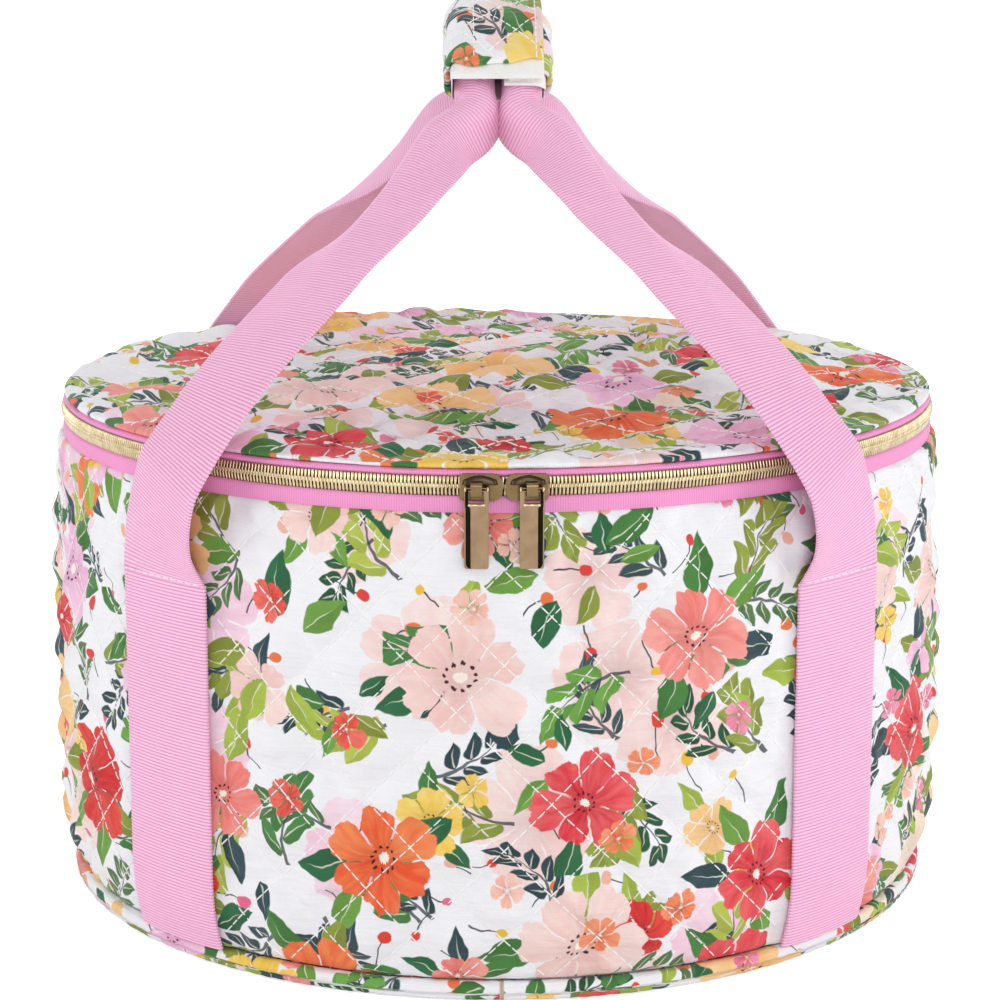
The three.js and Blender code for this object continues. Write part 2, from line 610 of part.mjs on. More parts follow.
function addHandleStraps() {
  const front = quarterStations();
  const back = [...front].reverse().slice(1);
  const flip = new THREE.Vector3(1, -1, 1);
  const stations = [
    ...front,
    ...back.map(({ at, face, fold }) => ({ at: at.clone().multiply(flip), face: face.clone().multiply(flip), fold })),
  ];
  const curve = new THREE.CatmullRomCurve3(stations.map(({ at }) => at));
  const steps = (stations.length - 1) * 2;
  const frames = Array.from({ length: steps + 1 }, (_, s) => {
    const low = stations[Math.floor(s / 2)];
    const high = stations[Math.ceil(s / 2)];
    const sewnEnd = s === 0 ? 1 : s === steps ? -1 : 0;
    const along = sewnEnd ? new THREE.Vector3(0, 0, sewnEnd) : curve.getTangent(s / steps);
    const face = low.face.clone().lerp(high.face, 0.5);
    face.addScaledVector(along, -face.dot(along)).normalize();
    const across = along.clone().cross(face);
    return { at: curve.getPoint(s / steps), face, across, fold: (low.fold + high.fold) / 2 };
  });
  const bands = frames.map(({ fold }) => strapSection(Math.PI * fold));
  for (const [name, side] of [["left_handle_strap", -1], ["right_handle_strap", 1]]) {
    const place = (p, s) => {
      const { at, face, across } = frames[s];
      const point = at.clone().addScaledVector(across, p.x).addScaledVector(face, p.y);
      return point.multiply(new THREE.Vector3(side, 1, 1));
    };
    piece(name, loft(bands, place), "webbing");
  }
}

// Wrap grip: a padded tongue folded round both straps and a flap that closes over it

// A layer of the grip by its line across the arch at each angle.
function gripPiece(name, lineAt, thickness, finish) {
  const steps = 8;
  const angles = Array.from({ length: steps + 1 }, (_, s) => gripHalfAngle * (1 - (2 * s) / steps));
  const bands = angles.map((angle) => thicken(lineAt(angle), thickness));
  piece(name, loft(bands, (p, s) => archPoint(p.x, angles[s], p.y)), finish);
}

// Rise of the flap's hinge line on the left side, kept between the side's corners.
function hingeRise(angle) {
  const centre = GRIP_HEIGHT - GRIP_ARCH_RADIUS;
  const rise = (FLAP_HINGE_HEIGHT - centre) / Math.cos(angle) - GRIP_ARCH_RADIUS;
  return THREE.MathUtils.clamp(rise, gripBottom + GRIP_CORNER_RADIUS, gripTop);
}

// The line of a layer that lies the given distance outside the straps: left side, bottom, right side, tongue.
function wrapLine(outside, angle) {
  const side = gripSide + outside;
  const corners = points2([
    [-side, hingeRise(angle)],
    [-side, gripBottom - outside],
    [side, gripBottom - outside],
    [side, gripTop + outside],
    [gripSide - UNDERLAP, gripTop + outside],
  ]);
  return rounded(corners, GRIP_CORNER_RADIUS + outside);
}

function addGrip() {
  const padMiddle = GRIP_LINING_THICKNESS + FIT + GRIP_PAD_THICKNESS / 2;
  const padTop = gripTop + padMiddle + GRIP_PAD_THICKNESS / 2;
  const loopMiddle = padTop + FIT + PATCH_THICKNESS / 2;
  const hookMiddle = loopMiddle + PATCH_THICKNESS + FIT;
  const flapMiddle = hookMiddle + PATCH_THICKNESS / 2 + FIT + GRIP_PAD_THICKNESS / 2;
  const patchLeft = gripSide - UNDERLAP + PATCH_MARGIN;
  const patchRight = gripSide - FLAP_SETBACK - PATCH_MARGIN;
  const side = gripSide + padMiddle;
  const flapLine = (angle) => {
    const corners = points2([
      [-side, hingeRise(angle) + FIT],
      [-side, flapMiddle],
      [side - FLAP_SETBACK, flapMiddle],
    ]);
    return rounded(corners, GRIP_CORNER_RADIUS + padMiddle);
  };
  const patchLine = (middle) => points2([[patchLeft, middle], [patchRight, middle]]);
  const liningMiddle = GRIP_LINING_THICKNESS / 2;
  gripPiece("grip_lining", (angle) => wrapLine(liningMiddle, angle), GRIP_LINING_THICKNESS, "lining");
  gripPiece("grip_pad", (angle) => wrapLine(padMiddle, angle), GRIP_PAD_THICKNESS, "print");
  gripPiece("loop_patch", () => patchLine(loopMiddle), PATCH_THICKNESS, "hookAndLoop");
  gripPiece("hook_patch", () => patchLine(hookMiddle), PATCH_THICKNESS, "hookAndLoop");
  gripPiece("grip_flap", flapLine, GRIP_PAD_THICKNESS, "print");
}

addSideWall();
addBase();
addZipChain();
addLid();
addSliders();
addStrapLegs();
addHandleStraps();
addGrip();

export default part;
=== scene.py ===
"""Round quilted casserole carrier, dressed in printed cotton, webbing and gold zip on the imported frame."""

import logging
import math
from collections.abc import Callable, Sequence
from dataclasses import dataclass
from enum import Enum

import bmesh
import bpy
import numpy as np
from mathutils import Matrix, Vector, geometry
from mathutils.bvhtree import BVHTree


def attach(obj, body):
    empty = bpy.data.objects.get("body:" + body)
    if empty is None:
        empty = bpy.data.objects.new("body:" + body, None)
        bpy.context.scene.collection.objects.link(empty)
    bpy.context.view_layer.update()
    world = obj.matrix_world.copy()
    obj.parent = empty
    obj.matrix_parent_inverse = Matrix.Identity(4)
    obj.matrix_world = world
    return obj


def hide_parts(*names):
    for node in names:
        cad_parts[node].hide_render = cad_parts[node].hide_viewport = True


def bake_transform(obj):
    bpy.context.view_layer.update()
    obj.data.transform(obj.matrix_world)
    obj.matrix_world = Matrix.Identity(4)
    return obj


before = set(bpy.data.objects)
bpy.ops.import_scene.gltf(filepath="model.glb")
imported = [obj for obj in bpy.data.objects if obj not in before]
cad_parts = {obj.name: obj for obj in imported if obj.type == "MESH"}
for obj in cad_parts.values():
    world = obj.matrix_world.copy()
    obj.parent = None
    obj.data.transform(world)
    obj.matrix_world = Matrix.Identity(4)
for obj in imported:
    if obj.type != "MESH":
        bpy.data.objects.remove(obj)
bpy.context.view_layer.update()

MM = 0.001
TURN = 2 * math.pi
LOG = logging.getLogger("carrier")


class Slot(Enum):
    """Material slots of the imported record."""

    PRINT = "print"
    LINING = "lining"
    TAPE = "tape"
    WEBBING = "webbing"
    GOLD = "gold"
    HOOK_AND_LOOP = "hook_and_loop"


class Body(Enum):
    """Bodies of the frame that pieces ride on."""

    CARRIER = "carrier_body"
    LID = "lid"
    LEFT_HANDLE = "left_handle"
    RIGHT_HANDLE = "right_handle"
    FLAP = "grip_flap_body"
    LEFT_SLIDER = "left_slider_body"
    RIGHT_SLIDER = "right_slider_body"
    LEFT_PULL = "left_pull_body"
    RIGHT_PULL = "right_pull_body"


class Side(Enum):
    """Left and right of the carrier, as a sign along X."""

    LEFT = -1
    RIGHT = 1

    @property
    def word(self) -> str:
        """The side's name in node names."""
        return self.name.lower()


def srgb(code: str) -> tuple[float, float, float, float]:
    """A linear colour.

    Args:
        code: six hex digits.

    Returns:
        Red, green, blue and alpha.
    """
    values = [int(code[i : i + 2], 16) / 255 for i in (0, 2, 4)]
    linear = [v / 12.92 if v <= 0.04045 else ((v + 0.055) / 1.055) ** 2.4 for v in values]
    return (linear[0], linear[1], linear[2], 1.0)


# Shader maths


class Wire:
    """A socket's value that can be added, multiplied and compared, so that shader maths reads as maths."""

    def __init__(self, sketch: "Sketch", socket: bpy.types.NodeSocket) -> None:
        """Keeps the socket and the sketch that it is drawn in."""
        self.sketch = sketch
        self.socket = socket

    def math(self, operation: str, *others: "Wire | float") -> "Wire":
        """The value of a Math node on this value and its other operands."""
        return self.sketch.math(operation, self, *others)

    def __add__(self, other: "Wire | float") -> "Wire":
        """Sum."""
        return self.math("ADD", other)

    def __sub__(self, other: "Wire | float") -> "Wire":
        """Difference."""
        return self.math("SUBTRACT", other)

    def __rsub__(self, other: float) -> "Wire":
        """Difference from a number."""
        return self.sketch.math("SUBTRACT", other, self)

    def __mul__(self, other: "Wire | float") -> "Wire":
        """Product."""
        return self.math("MULTIPLY", other)

    def __truediv__(self, other: "Wire | float") -> "Wire":
        """Quotient."""
        return self.math("DIVIDE", other)

    def __rtruediv__(self, other: float) -> "Wire":
        """A number over this value."""
        return self.sketch.math("DIVIDE", other, self)

    def __abs__(self) -> "Wire":
        """Size without sign."""
        return self.math("ABSOLUTE")

    def __pow__(self, power: float) -> "Wire":
        """Power."""
        return self.math("POWER", power)

    __radd__ = __add__
    __rmul__ = __mul__

    def ramp(self, low: "Wire | float", high: "Wire | float") -> "Wire":
        """0 up to low, 1 from high, and a straight line between them."""
        node = self.sketch.node("ShaderNodeMapRange")
        self.sketch.fit(node, Value=self, From_Min=low, From_Max=high)
        return Wire(self.sketch, node.outputs["Result"])


class Sketch:
    """Draws nodes in one node tree."""

    def __init__(self, tree: bpy.types.NodeTree) -> None:
        """Keeps the tree."""
        self.tree = tree

    def node(self, kind: str, **settings: object) -> bpy.types.Node:
        """A new node.

        Args:
            kind: the node's type.
            settings: its properties.

        Returns:
            The node.
        """
        made = self.tree.nodes.new(kind)
        for name, value in settings.items():
            setattr(made, name, value)
        return made

    def feed(self, socket: bpy.types.NodeSocket, value: "Wire | float | Sequence[float]") -> None:
        """Links a wire to a socket, or sets the socket's own value."""
        if isinstance(value, Wire):
            self.tree.links.new(value.socket, socket)
        else:
            socket.default_value = value

    def fit(self, node: bpy.types.Node, **values: "Wire | float | Sequence[float]") -> None:
        """Feeds a node's inputs by name, with _ for a space."""
        for name, value in values.items():
            self.feed(node.inputs[name.replace("_", " ")], value)

    def math(self, operation: str, *operands: "Wire | float") -> Wire:
        """The result of a Math node on the operands."""
        node = self.node("ShaderNodeMath", operation=operation)
        for socket, value in zip(node.inputs, operands):
            self.feed(socket, value)
        return Wire(self, node.outputs[0])

    def split(self, vector: Wire) -> list[Wire]:
        """The three parts of a vector."""
        node = self.node("ShaderNodeSeparateXYZ")
        self.feed(node.inputs[0], vector)
        return [Wire(self, out) for out in node.outputs]

    def join(self, x: Wire | float, y: Wire | float, z: Wire | float = 0.0) -> Wire:
        """A vector of three parts."""
        node = self.node("ShaderNodeCombineXYZ")
        for socket, value in zip(node.inputs, (x, y, z)):
            self.feed(socket, value)
        return Wire(self, node.outputs[0])

    def mix(self, first: Wire | Sequence[float], second: Wire | Sequence[float], share: Wire | float) -> Wire:
        """A colour between two colours.

        Args:
            first: colour at share 0.
            second: colour at share 1.
            share: place between them.

        Returns:
            The mixed colour.
        """
        node = self.node("ShaderNodeMix", data_type="RGBA")
        self.feed(node.inputs[0], share)
        self.feed(node.inputs[6], first)
        self.feed(node.inputs[7], second)
        return Wire(self, node.outputs[2])

    def shade(self, colour: Wire, value: Wire | float) -> Wire:
        """A colour made lighter or darker."""
        node = self.node("ShaderNodeHueSaturation")
        self.fit(node, Value=value, Color=colour)
        return Wire(self, node.outputs[0])

    def noise(self, vector: Wire, scale: float, detail: float = 2.0) -> Wire:
        """Soft noise; the scale is in waves for each unit of the vector."""
        node = self.node("ShaderNodeTexNoise")
        self.fit(node, Vector=vector, Scale=scale, Detail=detail)
        return Wire(self, node.outputs["Fac"])

    def chance(self, seed: Wire) -> Wire:
        """A number from 0 to 1 that depends only on the seed."""
        node = self.node("ShaderNodeTexWhiteNoise", noise_dimensions="1D")
        self.feed(node.inputs["W"], seed)
        return Wire(self, node.outputs["Value"])

    def pick(self, share: Wire, codes: Sequence[str]) -> Wire:
        """One of several colours, by a number from 0 to 1.

        Args:
            share: the number.
            codes: hex codes of the colours.

        Returns:
            The colour, in steps.
        """
        node = self.node("ShaderNodeValToRGB")
        ramp = node.color_ramp
        ramp.interpolation = "CONSTANT"
        for _ in codes[2:]:
            ramp.elements.new(1.0)
        for i, code in enumerate(codes):
            ramp.elements[i].position = i / len(codes)
            ramp.elements[i].color = srgb(code)
        self.feed(node.inputs[0], share)
        return Wire(self, node.outputs[0])

    def attribute(self, name: str) -> Wire:
        """A vector that the mesh carries."""
        return Wire(self, self.node("ShaderNodeAttribute", attribute_name=name).outputs["Vector"])

    def bump(self, height: Wire, strength: float, distance: float) -> Wire:
        """A normal bent by a height.

        Args:
            height: the height.
            strength: how much of it shows.
            distance: what a height of 1 stands for, in metres.

        Returns:
            The normal.
        """
        node = self.node("ShaderNodeBump")
        self.fit(node, Strength=strength, Distance=distance, Height=height)
        return Wire(self, node.outputs[0])

    def use(self, effect: "Effect", **given: "Wire | float | Sequence[float]") -> dict[str, Wire]:
        """Places an effect's group.

        Args:
            effect: the effect.
            given: values for its inputs, by name, with _ for a space.

        Returns:
            Its outputs by name.
        """
        node = self.node("ShaderNodeGroup", node_tree=effect.tree())
        self.fit(node, **given)
        return {out.name: Wire(self, out) for out in node.outputs}


class Effect:
    """A shader node group with named inputs and outputs that is built once and placed where it is needed."""

    name = "effect"
    inputs: dict[str, float | tuple[float, ...]] = {}
    outputs: tuple[str, ...] = ()

    def tree(self) -> bpy.types.NodeTree:
        """The group's tree, which is made at its first use."""
        made = bpy.data.node_groups.get(self.name)
        if made:
            return made
        made = bpy.data.node_groups.new(self.name, "ShaderNodeTree")
        sketch = Sketch(made)
        for name, value in self.inputs.items():
            kind = "NodeSocketVector" if isinstance(value, tuple) else "NodeSocketFloat"
            made.interface.new_socket(name, in_out="INPUT", socket_type=kind).default_value = value
        for name in self.outputs:
            kind = "NodeSocketColor" if name == "Color" else "NodeSocketFloat"
            made.interface.new_socket(name, in_out="OUTPUT", socket_type=kind)
        entry = sketch.node("NodeGroupInput")
        results = self.draw(sketch, {out.name: Wire(sketch, out) for out in entry.outputs if out.name})
        leave = sketch.node("NodeGroupOutput")
        for name, wire in results.items():
            sketch.feed(leave.inputs[name], wire)
        return made

    def draw(self, sketch: Sketch, given: dict[str, Wire]) -> dict[str, Wire]:
        """Draws the group.

        Args:
            sketch: the group's sketch.
            given: its inputs by name.

        Returns:
            Its outputs by name.
        """
        raise NotImplementedError


# Printed pattern, in millimetres of cloth

CELL_INPUTS = {"Fabric": (0.0, 0.0, 0.0), "Cell": 50.0, "Jitter": 0.4, "Turn": 0.0, "Shift": 0.0}


class PrintCells(Effect):
    """Scattered places for a motif: where a point lies from the nearest place, and three chances for it."""

    name = "print_cells"
    inputs = CELL_INPUTS
    outputs = ("X", "Y", "A", "B", "C")

    def draw(self, sketch: Sketch, given: dict[str, Wire]) -> dict[str, Wire]:
        """Draws the group; see Effect.draw."""
        x, y, _ = sketch.split(given["Fabric"])
        cos, sin = given["Turn"].math("COSINE"), given["Turn"].math("SINE")
        u = x * cos - y * sin + given["Shift"]
        v = x * sin + y * cos - given["Shift"]
        cells = sketch.node("ShaderNodeTexVoronoi", voronoi_dimensions="2D")
        scale = 1.0 / given["Cell"]
        sketch.fit(cells, Vector=sketch.join(u, v), Scale=scale, Randomness=given["Jitter"])
        at_x, at_y, _ = sketch.split(Wire(sketch, cells.outputs["Position"]))
        a, b, c = sketch.split(Wire(sketch, cells.outputs["Color"]))
        return {"X": u - at_x, "Y": v - at_y, "A": a, "B": b, "C": c}


def place_cells(sketch: Sketch, given: dict[str, Wire]) -> list[Wire]:
    """Places the cells' group with a motif's inputs: the point's place in its cell, and three chances."""
    return list(sketch.use(PrintCells(), **{name: given[name] for name in CELL_INPUTS}).values())


def almond(u: Wire, v: Wire, length: Wire | float, half_width: Wire | float) -> tuple[Wire, Wire]:
    """A leaf that starts at u = 0.

    Args:
        u: place along the leaf.
        v: place across it.
        length: the leaf's length.
        half_width: half its width.

    Returns:
        Masks of the leaf and of its pale rib.
    """
    share = (u / length).ramp(0.0, 1.0)
    half = half_width * (share * (1.0 - share) * (5.6 - share * 3.0))
    leaf = (half - abs(v)).ramp(0.0, 0.4)
    rib = (0.42 - abs(v) - share * 0.3).ramp(0.0, 0.25) * share.ramp(0.06, 0.14)
    return leaf, rib * (1.0 - share.ramp(0.6, 0.8))


class PrintFlower(Effect):
    """Open flowers with separate petals, a pale heart and dark stamens."""

    name = "print_flower"
    inputs = {**CELL_INPUTS, "Radius": 18.0, "Count": 5.0, "Share": 0.9}
    outputs = ("Petals", "Heart", "Stamens", "Pick", "Tone", "Depth", "Stroke")

    def draw(self, sketch: Sketch, given: dict[str, Wire]) -> dict[str, Wire]:
        """Draws the group; see Effect.draw."""
        x, y, a, b, c = place_cells(sketch, given)
        radius = (x * x + y * y).math("SQRT")
        angle = y.math("ARCTAN2", x) / TURN + a
        count = given["Count"]
        size = given["Radius"] * (0.8 + b * 0.35)
        around = angle * count
        petal = around.math("FLOOR").math("FLOORED_MODULO", count)
        off = abs(around.math("FRACT") - 0.5) * 2.0
        tone = sketch.chance(petal * 1.37 + a * 61.0 + c * 23.0)
        notch = (1.0 - off * 4.0).ramp(0.0, 1.0) * 0.05
        ruffle = sketch.noise(sketch.join(around * 2.6, a * 50.0), 1.9, 3.0) - 0.5
        reach = size * ((0.86 + tone * 0.24) * (1.0 - off**3.4 * 0.3) - notch + ruffle * 0.26)
        gap = ((1.0 - off) * radius * (math.pi / count)).ramp(0.1, 0.4)
        parted = gap.math("MAXIMUM", (size * 0.42 - radius).ramp(0.0, 2.5))
        here = sketch.chance(a * 91.7 + b * 13.0).math("LESS_THAN", given["Share"])
        petals = (reach - radius).ramp(0.0, 0.45) * parted * here
        depth = radius / size
        stroke = sketch.noise(sketch.join(around * 5.0 + b * 30.0, depth * 1.6), 1.0, 2.0)
        heart = (size * (0.1 + ruffle * 0.12) - radius).ramp(0.0, 0.4) * here
        ring = (angle * 11.0).math("FRACT") - 0.5
        dot_u = ring * (TURN / 11.0) * radius
        dot_v = radius - size * (0.2 + ruffle * 0.1)
        stamen = 0.036 * size - (dot_u * dot_u + dot_v * dot_v).math("SQRT")
        stamens = stamen.ramp(0.0, 0.25) * here
        return {
            "Petals": petals, "Heart": heart, "Stamens": stamens, "Pick": c,
            "Tone": tone, "Depth": depth, "Stroke": stroke,
        }


class PrintLeafRing(Effect):
    """Leaves that look out from under a flower, in the same cells as the flower."""

    name = "print_leaf_ring"
    inputs = {**CELL_INPUTS, "Radius": 14.0, "Count": 5.0, "Length": 20.0, "Half width": 4.5, "Share": 0.6}
    outputs = ("Leaf", "Rib", "Pick", "Lit")

    def draw(self, sketch: Sketch, given: dict[str, Wire]) -> dict[str, Wire]:
        """Draws the group; see Effect.draw."""
        x, y, a, b, c = place_cells(sketch, given)
        radius = (x * x + y * y).math("SQRT")
        around = (y.math("ARCTAN2", x) / TURN + b) * given["Count"]
        leaf_number = around.math("FLOOR").math("FLOORED_MODULO", given["Count"])
        luck = sketch.chance(leaf_number * 2.11 + a * 37.0 + b * 71.0)
        angle = (around.math("FRACT") - 0.5) * (TURN / given["Count"])
        u = radius * angle.math("COSINE") - given["Radius"] * 0.7
        lean = (luck - 0.5) * 0.5
        v = radius * angle.math("SINE") + lean * u - lean * 0.03 * u * u
        here = luck.math("LESS_THAN", given["Share"])
        leaf, rib = almond(u, v, given["Length"] * (0.8 + luck * 0.5), given["Half width"])
        pick = sketch.chance(leaf_number * 3.7 + c * 17.0)
        return {"Leaf": leaf * here, "Rib": rib * here, "Pick": pick, "Lit": v.math("GREATER_THAN", 0.0)}


class PrintSprig(Effect):
    """Curved stems with leaves in turn on both sides."""

    name = "print_sprig"
    inputs = {
        **CELL_INPUTS, "Reach": 17.0, "Pitch": 7.5, "Length": 10.0, "Half width": 2.2,
        "Lean": 0.9, "Share": 0.8,
    }
    outputs = ("Leaf", "Rib", "Stem", "Pick", "Lit")

    def draw(self, sketch: Sketch, given: dict[str, Wire]) -> dict[str, Wire]:
        """Draws the group; see Effect.draw."""
        x, y, a, b, c = place_cells(sketch, given)
        turn = a * TURN
        cos, sin = turn.math("COSINE"), turn.math("SINE")
        u = x * cos - y * sin
        bend = (b - 0.5) * 0.05
        v = x * sin + y * cos - bend * u * u
        here = sketch.chance(a * 53.0 + c * 7.0).math("LESS_THAN", given["Share"])
        other = v.math("LESS_THAN", 0.0)
        out = abs(v)
        lean_cos, lean_sin = given["Lean"].math("COSINE"), given["Lean"].math("SINE")
        along = (u - out * lean_cos / lean_sin) / given["Pitch"] + other * 0.5
        number = along.math("ROUND")
        at = (number - other * 0.5) * given["Pitch"]
        inside = abs(at).math("LESS_THAN", given["Reach"])
        length = given["Length"] * (1.05 - 0.4 * (at / given["Reach"] * 0.5 + 0.5))
        side = (along - number) * given["Pitch"] * lean_sin
        leaf, rib = almond(out / lean_sin - 0.4, side, length, given["Half width"])
        tip_leaf, tip_rib = almond(u - given["Reach"] * 0.8, v, given["Length"] * 0.9, given["Half width"])
        on_stem = (abs(u).math("LESS_THAN", given["Reach"] * 1.05)) * here
        taper = 0.55 - 0.3 * (u / given["Reach"])
        stem = (taper - out).ramp(0.0, 0.3) * on_stem
        pick = sketch.chance(c * 29.0 + b * 3.0)
        return {
            "Leaf": (leaf * inside).math("MAXIMUM", tip_leaf) * here,
            "Rib": (rib * inside).math("MAXIMUM", tip_rib) * here,
            "Stem": stem, "Pick": pick, "Lit": (side + other * 0.4).math("GREATER_THAN", 0.2),
        }


class PrintBerry(Effect):
    """Round berries on thin curved stems."""

    name = "print_berry"
    inputs = {**CELL_INPUTS, "Radius": 2.2, "Length": 11.0, "Share": 0.5}
    outputs = ("Berry", "Stem", "Pick")

    def draw(self, sketch: Sketch, given: dict[str, Wire]) -> dict[str, Wire]:
        """Draws the group; see Effect.draw."""
        x, y, a, b, c = place_cells(sketch, given)
        radius = (x * x + y * y).math("SQRT")
        turn = a * TURN
        u = x * turn.math("COSINE") - y * turn.math("SINE")
        v = x * turn.math("SINE") + y * turn.math("COSINE") - (b - 0.5) * 0.08 * u * u
        here = sketch.chance(a * 47.0 + c * 5.0).math("LESS_THAN", given["Share"])
        berry = (given["Radius"] * (0.75 + b * 0.5) - radius).ramp(0.0, 0.35) * here
        on_stem = u.math("GREATER_THAN", 0.0) * (given["Length"] - u).ramp(0.0, 0.5) * here
        stem = (0.38 - abs(v)).ramp(0.0, 0.25) * on_stem
        return {"Berry": berry, "Stem": stem, "Pick": c}


@dataclass(frozen=True)
class Inks:
    """Inks of the printed cotton."""

    ground: str = "F7F7FB"
    rib: str = "EFF0DC"
    heart: str = "FFF6EA"
    stamen: str = "4A1420"
    stem: str = "3B4650"
    flowers: tuple[str, ...] = (
        "CB1F2C", "F8BF74", "F3B3D8", "EE5730", "F5C84A", "F07D77", "D9283A", "F6CBC6",
    )
    flowers_light: tuple[str, ...] = (
        "E44A3C", "FAD7A2", "F8D3EA", "F58F58", "F9DD86", "F7AAA0", "EE6A6C", "FAE2DC",
    )
    blossoms: tuple[str, ...] = ("F9DDD6", "F7CFE2", "FBE3CB", "F6D3D0")
    blossoms_light: tuple[str, ...] = ("FCEBE6", "FBE4F0", "FDF0E0", "FAE6E3")
    small: tuple[str, ...] = ("E3453C", "F6B9A6", "F2C343", "EA6D92", "F07B4B")
    small_light: tuple[str, ...] = ("F07A68", "FAD6CA", "F8DA80", "F3A5BE", "F7A57F")
    greens: tuple[str, ...] = ("2C6A43", "6FA045", "8D9A3C", "2F4A50", "A9BE4D", "47803F")
    darks: tuple[str, ...] = ("2D464D", "26563B", "3C5358", "557A4A")
    limes: tuple[str, ...] = ("93A244", "6FA64A", "B7C653", "4C8548")


class FloralPrint(Effect):
    """A scattered garden print: blossoms, sprigs, leaves, open flowers and berries on white."""

    name = "floral_print"
    inputs = {"Fabric": (0.0, 0.0, 0.0)}
    outputs = ("Color",)

    def draw(self, sketch: Sketch, given: dict[str, Wire]) -> dict[str, Wire]:
        """Draws the group; see Effect.draw."""
        inks = Inks()
        x, y, _ = sketch.split(given["Fabric"])
        sway_x = sketch.noise(given["Fabric"], 0.09, 2.0) - 0.5
        sway_y = sketch.noise(sketch.join(y + 71.0, x - 33.0), 0.09, 2.0) - 0.5
        cloth = sketch.join(x + sway_x * 5.0, y + sway_y * 5.0)
        wash = sketch.noise(given["Fabric"], 0.12, 3.0)
        colour: Wire | tuple[float, ...] = srgb(inks.ground)

        def flower(
            under: Wire, codes: Sequence[str], light: Sequence[str], strong: bool, **at: float
        ) -> Wire:
            """One layer of flowers over what lies under it."""
            made = sketch.use(PrintFlower(), Fabric=cloth, **at)
            tone = made["Tone"] * 0.6 + (made["Stroke"] - 0.5) * 1.7
            tone = (tone + (wash - 0.5) * 0.5 + made["Depth"] * 0.3).ramp(0.05, 0.95)
            petal = sketch.mix(sketch.pick(made["Pick"], codes), sketch.pick(made["Pick"], light), tone)
            petal = sketch.shade(petal, 0.86 + made["Depth"].ramp(0.05, 0.6) * 0.16)
            over = sketch.mix(under, petal, made["Petals"])
            if not strong:
                return over
            over = sketch.mix(over, srgb(inks.heart), made["Heart"])
            return sketch.mix(over, srgb(inks.stamen), made["Stamens"])

        def leafy(under: Wire, effect: Effect, codes: Sequence[str], **at: float) -> Wire:
            """One layer of leaves over what lies under it."""
            made = sketch.use(effect, Fabric=cloth, **at)
            leaf = sketch.pick(made["Pick"], codes)
            leaf = sketch.shade(leaf, 0.84 + made["Lit"] * 0.2 + (wash - 0.5) * 0.4)
            over = sketch.mix(under, srgb(inks.stem), made["Stem"] * 0.9) if "Stem" in made else under
            over = sketch.mix(over, leaf, made["Leaf"])
            return sketch.mix(over, srgb(inks.rib), made["Rib"] * 0.75)

        def berries(under: Wire, codes: Sequence[str], **at: float) -> Wire:
            """One layer of berries over what lies under it."""
            made = sketch.use(PrintBerry(), Fabric=cloth, **at)
            over = sketch.mix(under, srgb(inks.stem), made["Stem"])
            return sketch.mix(over, sketch.pick(made["Pick"], codes), made["Berry"])

        big = {"Cell": 58.0, "Jitter": 0.5, "Turn": 0.45, "Shift": 11.0}
        middle = {"Cell": 50.0, "Jitter": 0.6, "Turn": 1.2, "Shift": 31.0}
        sprig, ring = PrintSprig(), PrintLeafRing()
        colour = flower(
            colour, inks.blossoms, inks.blossoms_light, False,
            Cell=57.0, Jitter=0.7, Turn=0.2, Shift=83.0, Radius=21.0, Count=5.0, Share=0.75,
        )
        colour = berries(colour, inks.small, Cell=19.0, Jitter=0.8, Turn=0.9, Shift=7.0, Share=0.7)
        colour = leafy(
            colour, sprig, inks.darks, Cell=40.0, Jitter=0.7, Turn=0.3, Shift=59.0, Reach=12.0, Pitch=7.0,
            Length=10.5, Half_width=2.3, Lean=0.85, Share=0.85,
        )
        colour = leafy(
            colour, sprig, inks.limes, Cell=44.0, Jitter=0.7, Turn=0.8, Shift=23.0, Reach=13.0, Pitch=9.5,
            Length=14.0, Half_width=3.4, Lean=0.75, Share=0.8,
        )
        colour = leafy(
            colour, ring, inks.greens, **middle,
            Radius=8.0, Count=5.0, Length=15.0, Half_width=3.2, Share=0.6,
        )
        colour = flower(
            colour, inks.flowers[::-1], inks.flowers_light[::-1], True, **middle,
            Radius=11.5, Count=5.0, Share=0.6,
        )
        colour = leafy(
            colour, ring, inks.greens, **big, Radius=17.0, Count=7.0, Length=22.0, Half_width=4.6, Share=0.55,
        )
        colour = flower(
            colour, inks.flowers, inks.flowers_light, True, **big, Radius=20.0, Count=6.0, Share=0.92,
        )
        colour = flower(
            colour, inks.small, inks.small_light, True,
            Cell=31.0, Jitter=0.75, Turn=1.0, Shift=47.0, Radius=6.2, Count=5.0, Share=0.42,
        )
        return {"Color": colour}


class FineWeave(Effect):
    """Plain weave: over and under threads with slubs, as a height and as a shade."""

    name = "fine_weave"
    inputs = {"Fabric": (0.0, 0.0, 0.0), "Pitch": 0.4, "Slub": 0.3}
    outputs = ("Height", "Shade")

    def draw(self, sketch: Sketch, given: dict[str, Wire]) -> dict[str, Wire]:
        """Draws the group; see Effect.draw."""
        x, y, _ = sketch.split(given["Fabric"])
        warp = (x / given["Pitch"] * math.pi).math("SINE")
        weft = (y / given["Pitch"] * math.pi).math("SINE")
        slub = sketch.noise(given["Fabric"], 1.3, 3.0) - 0.5
        height = warp * weft * 0.5 + 0.5 + slub * given["Slub"]
        shade = 1.0 - (0.5 - warp * weft * 0.5) * 0.06 + slub * given["Slub"] * 0.2
        return {"Height": height, "Shade": shade}


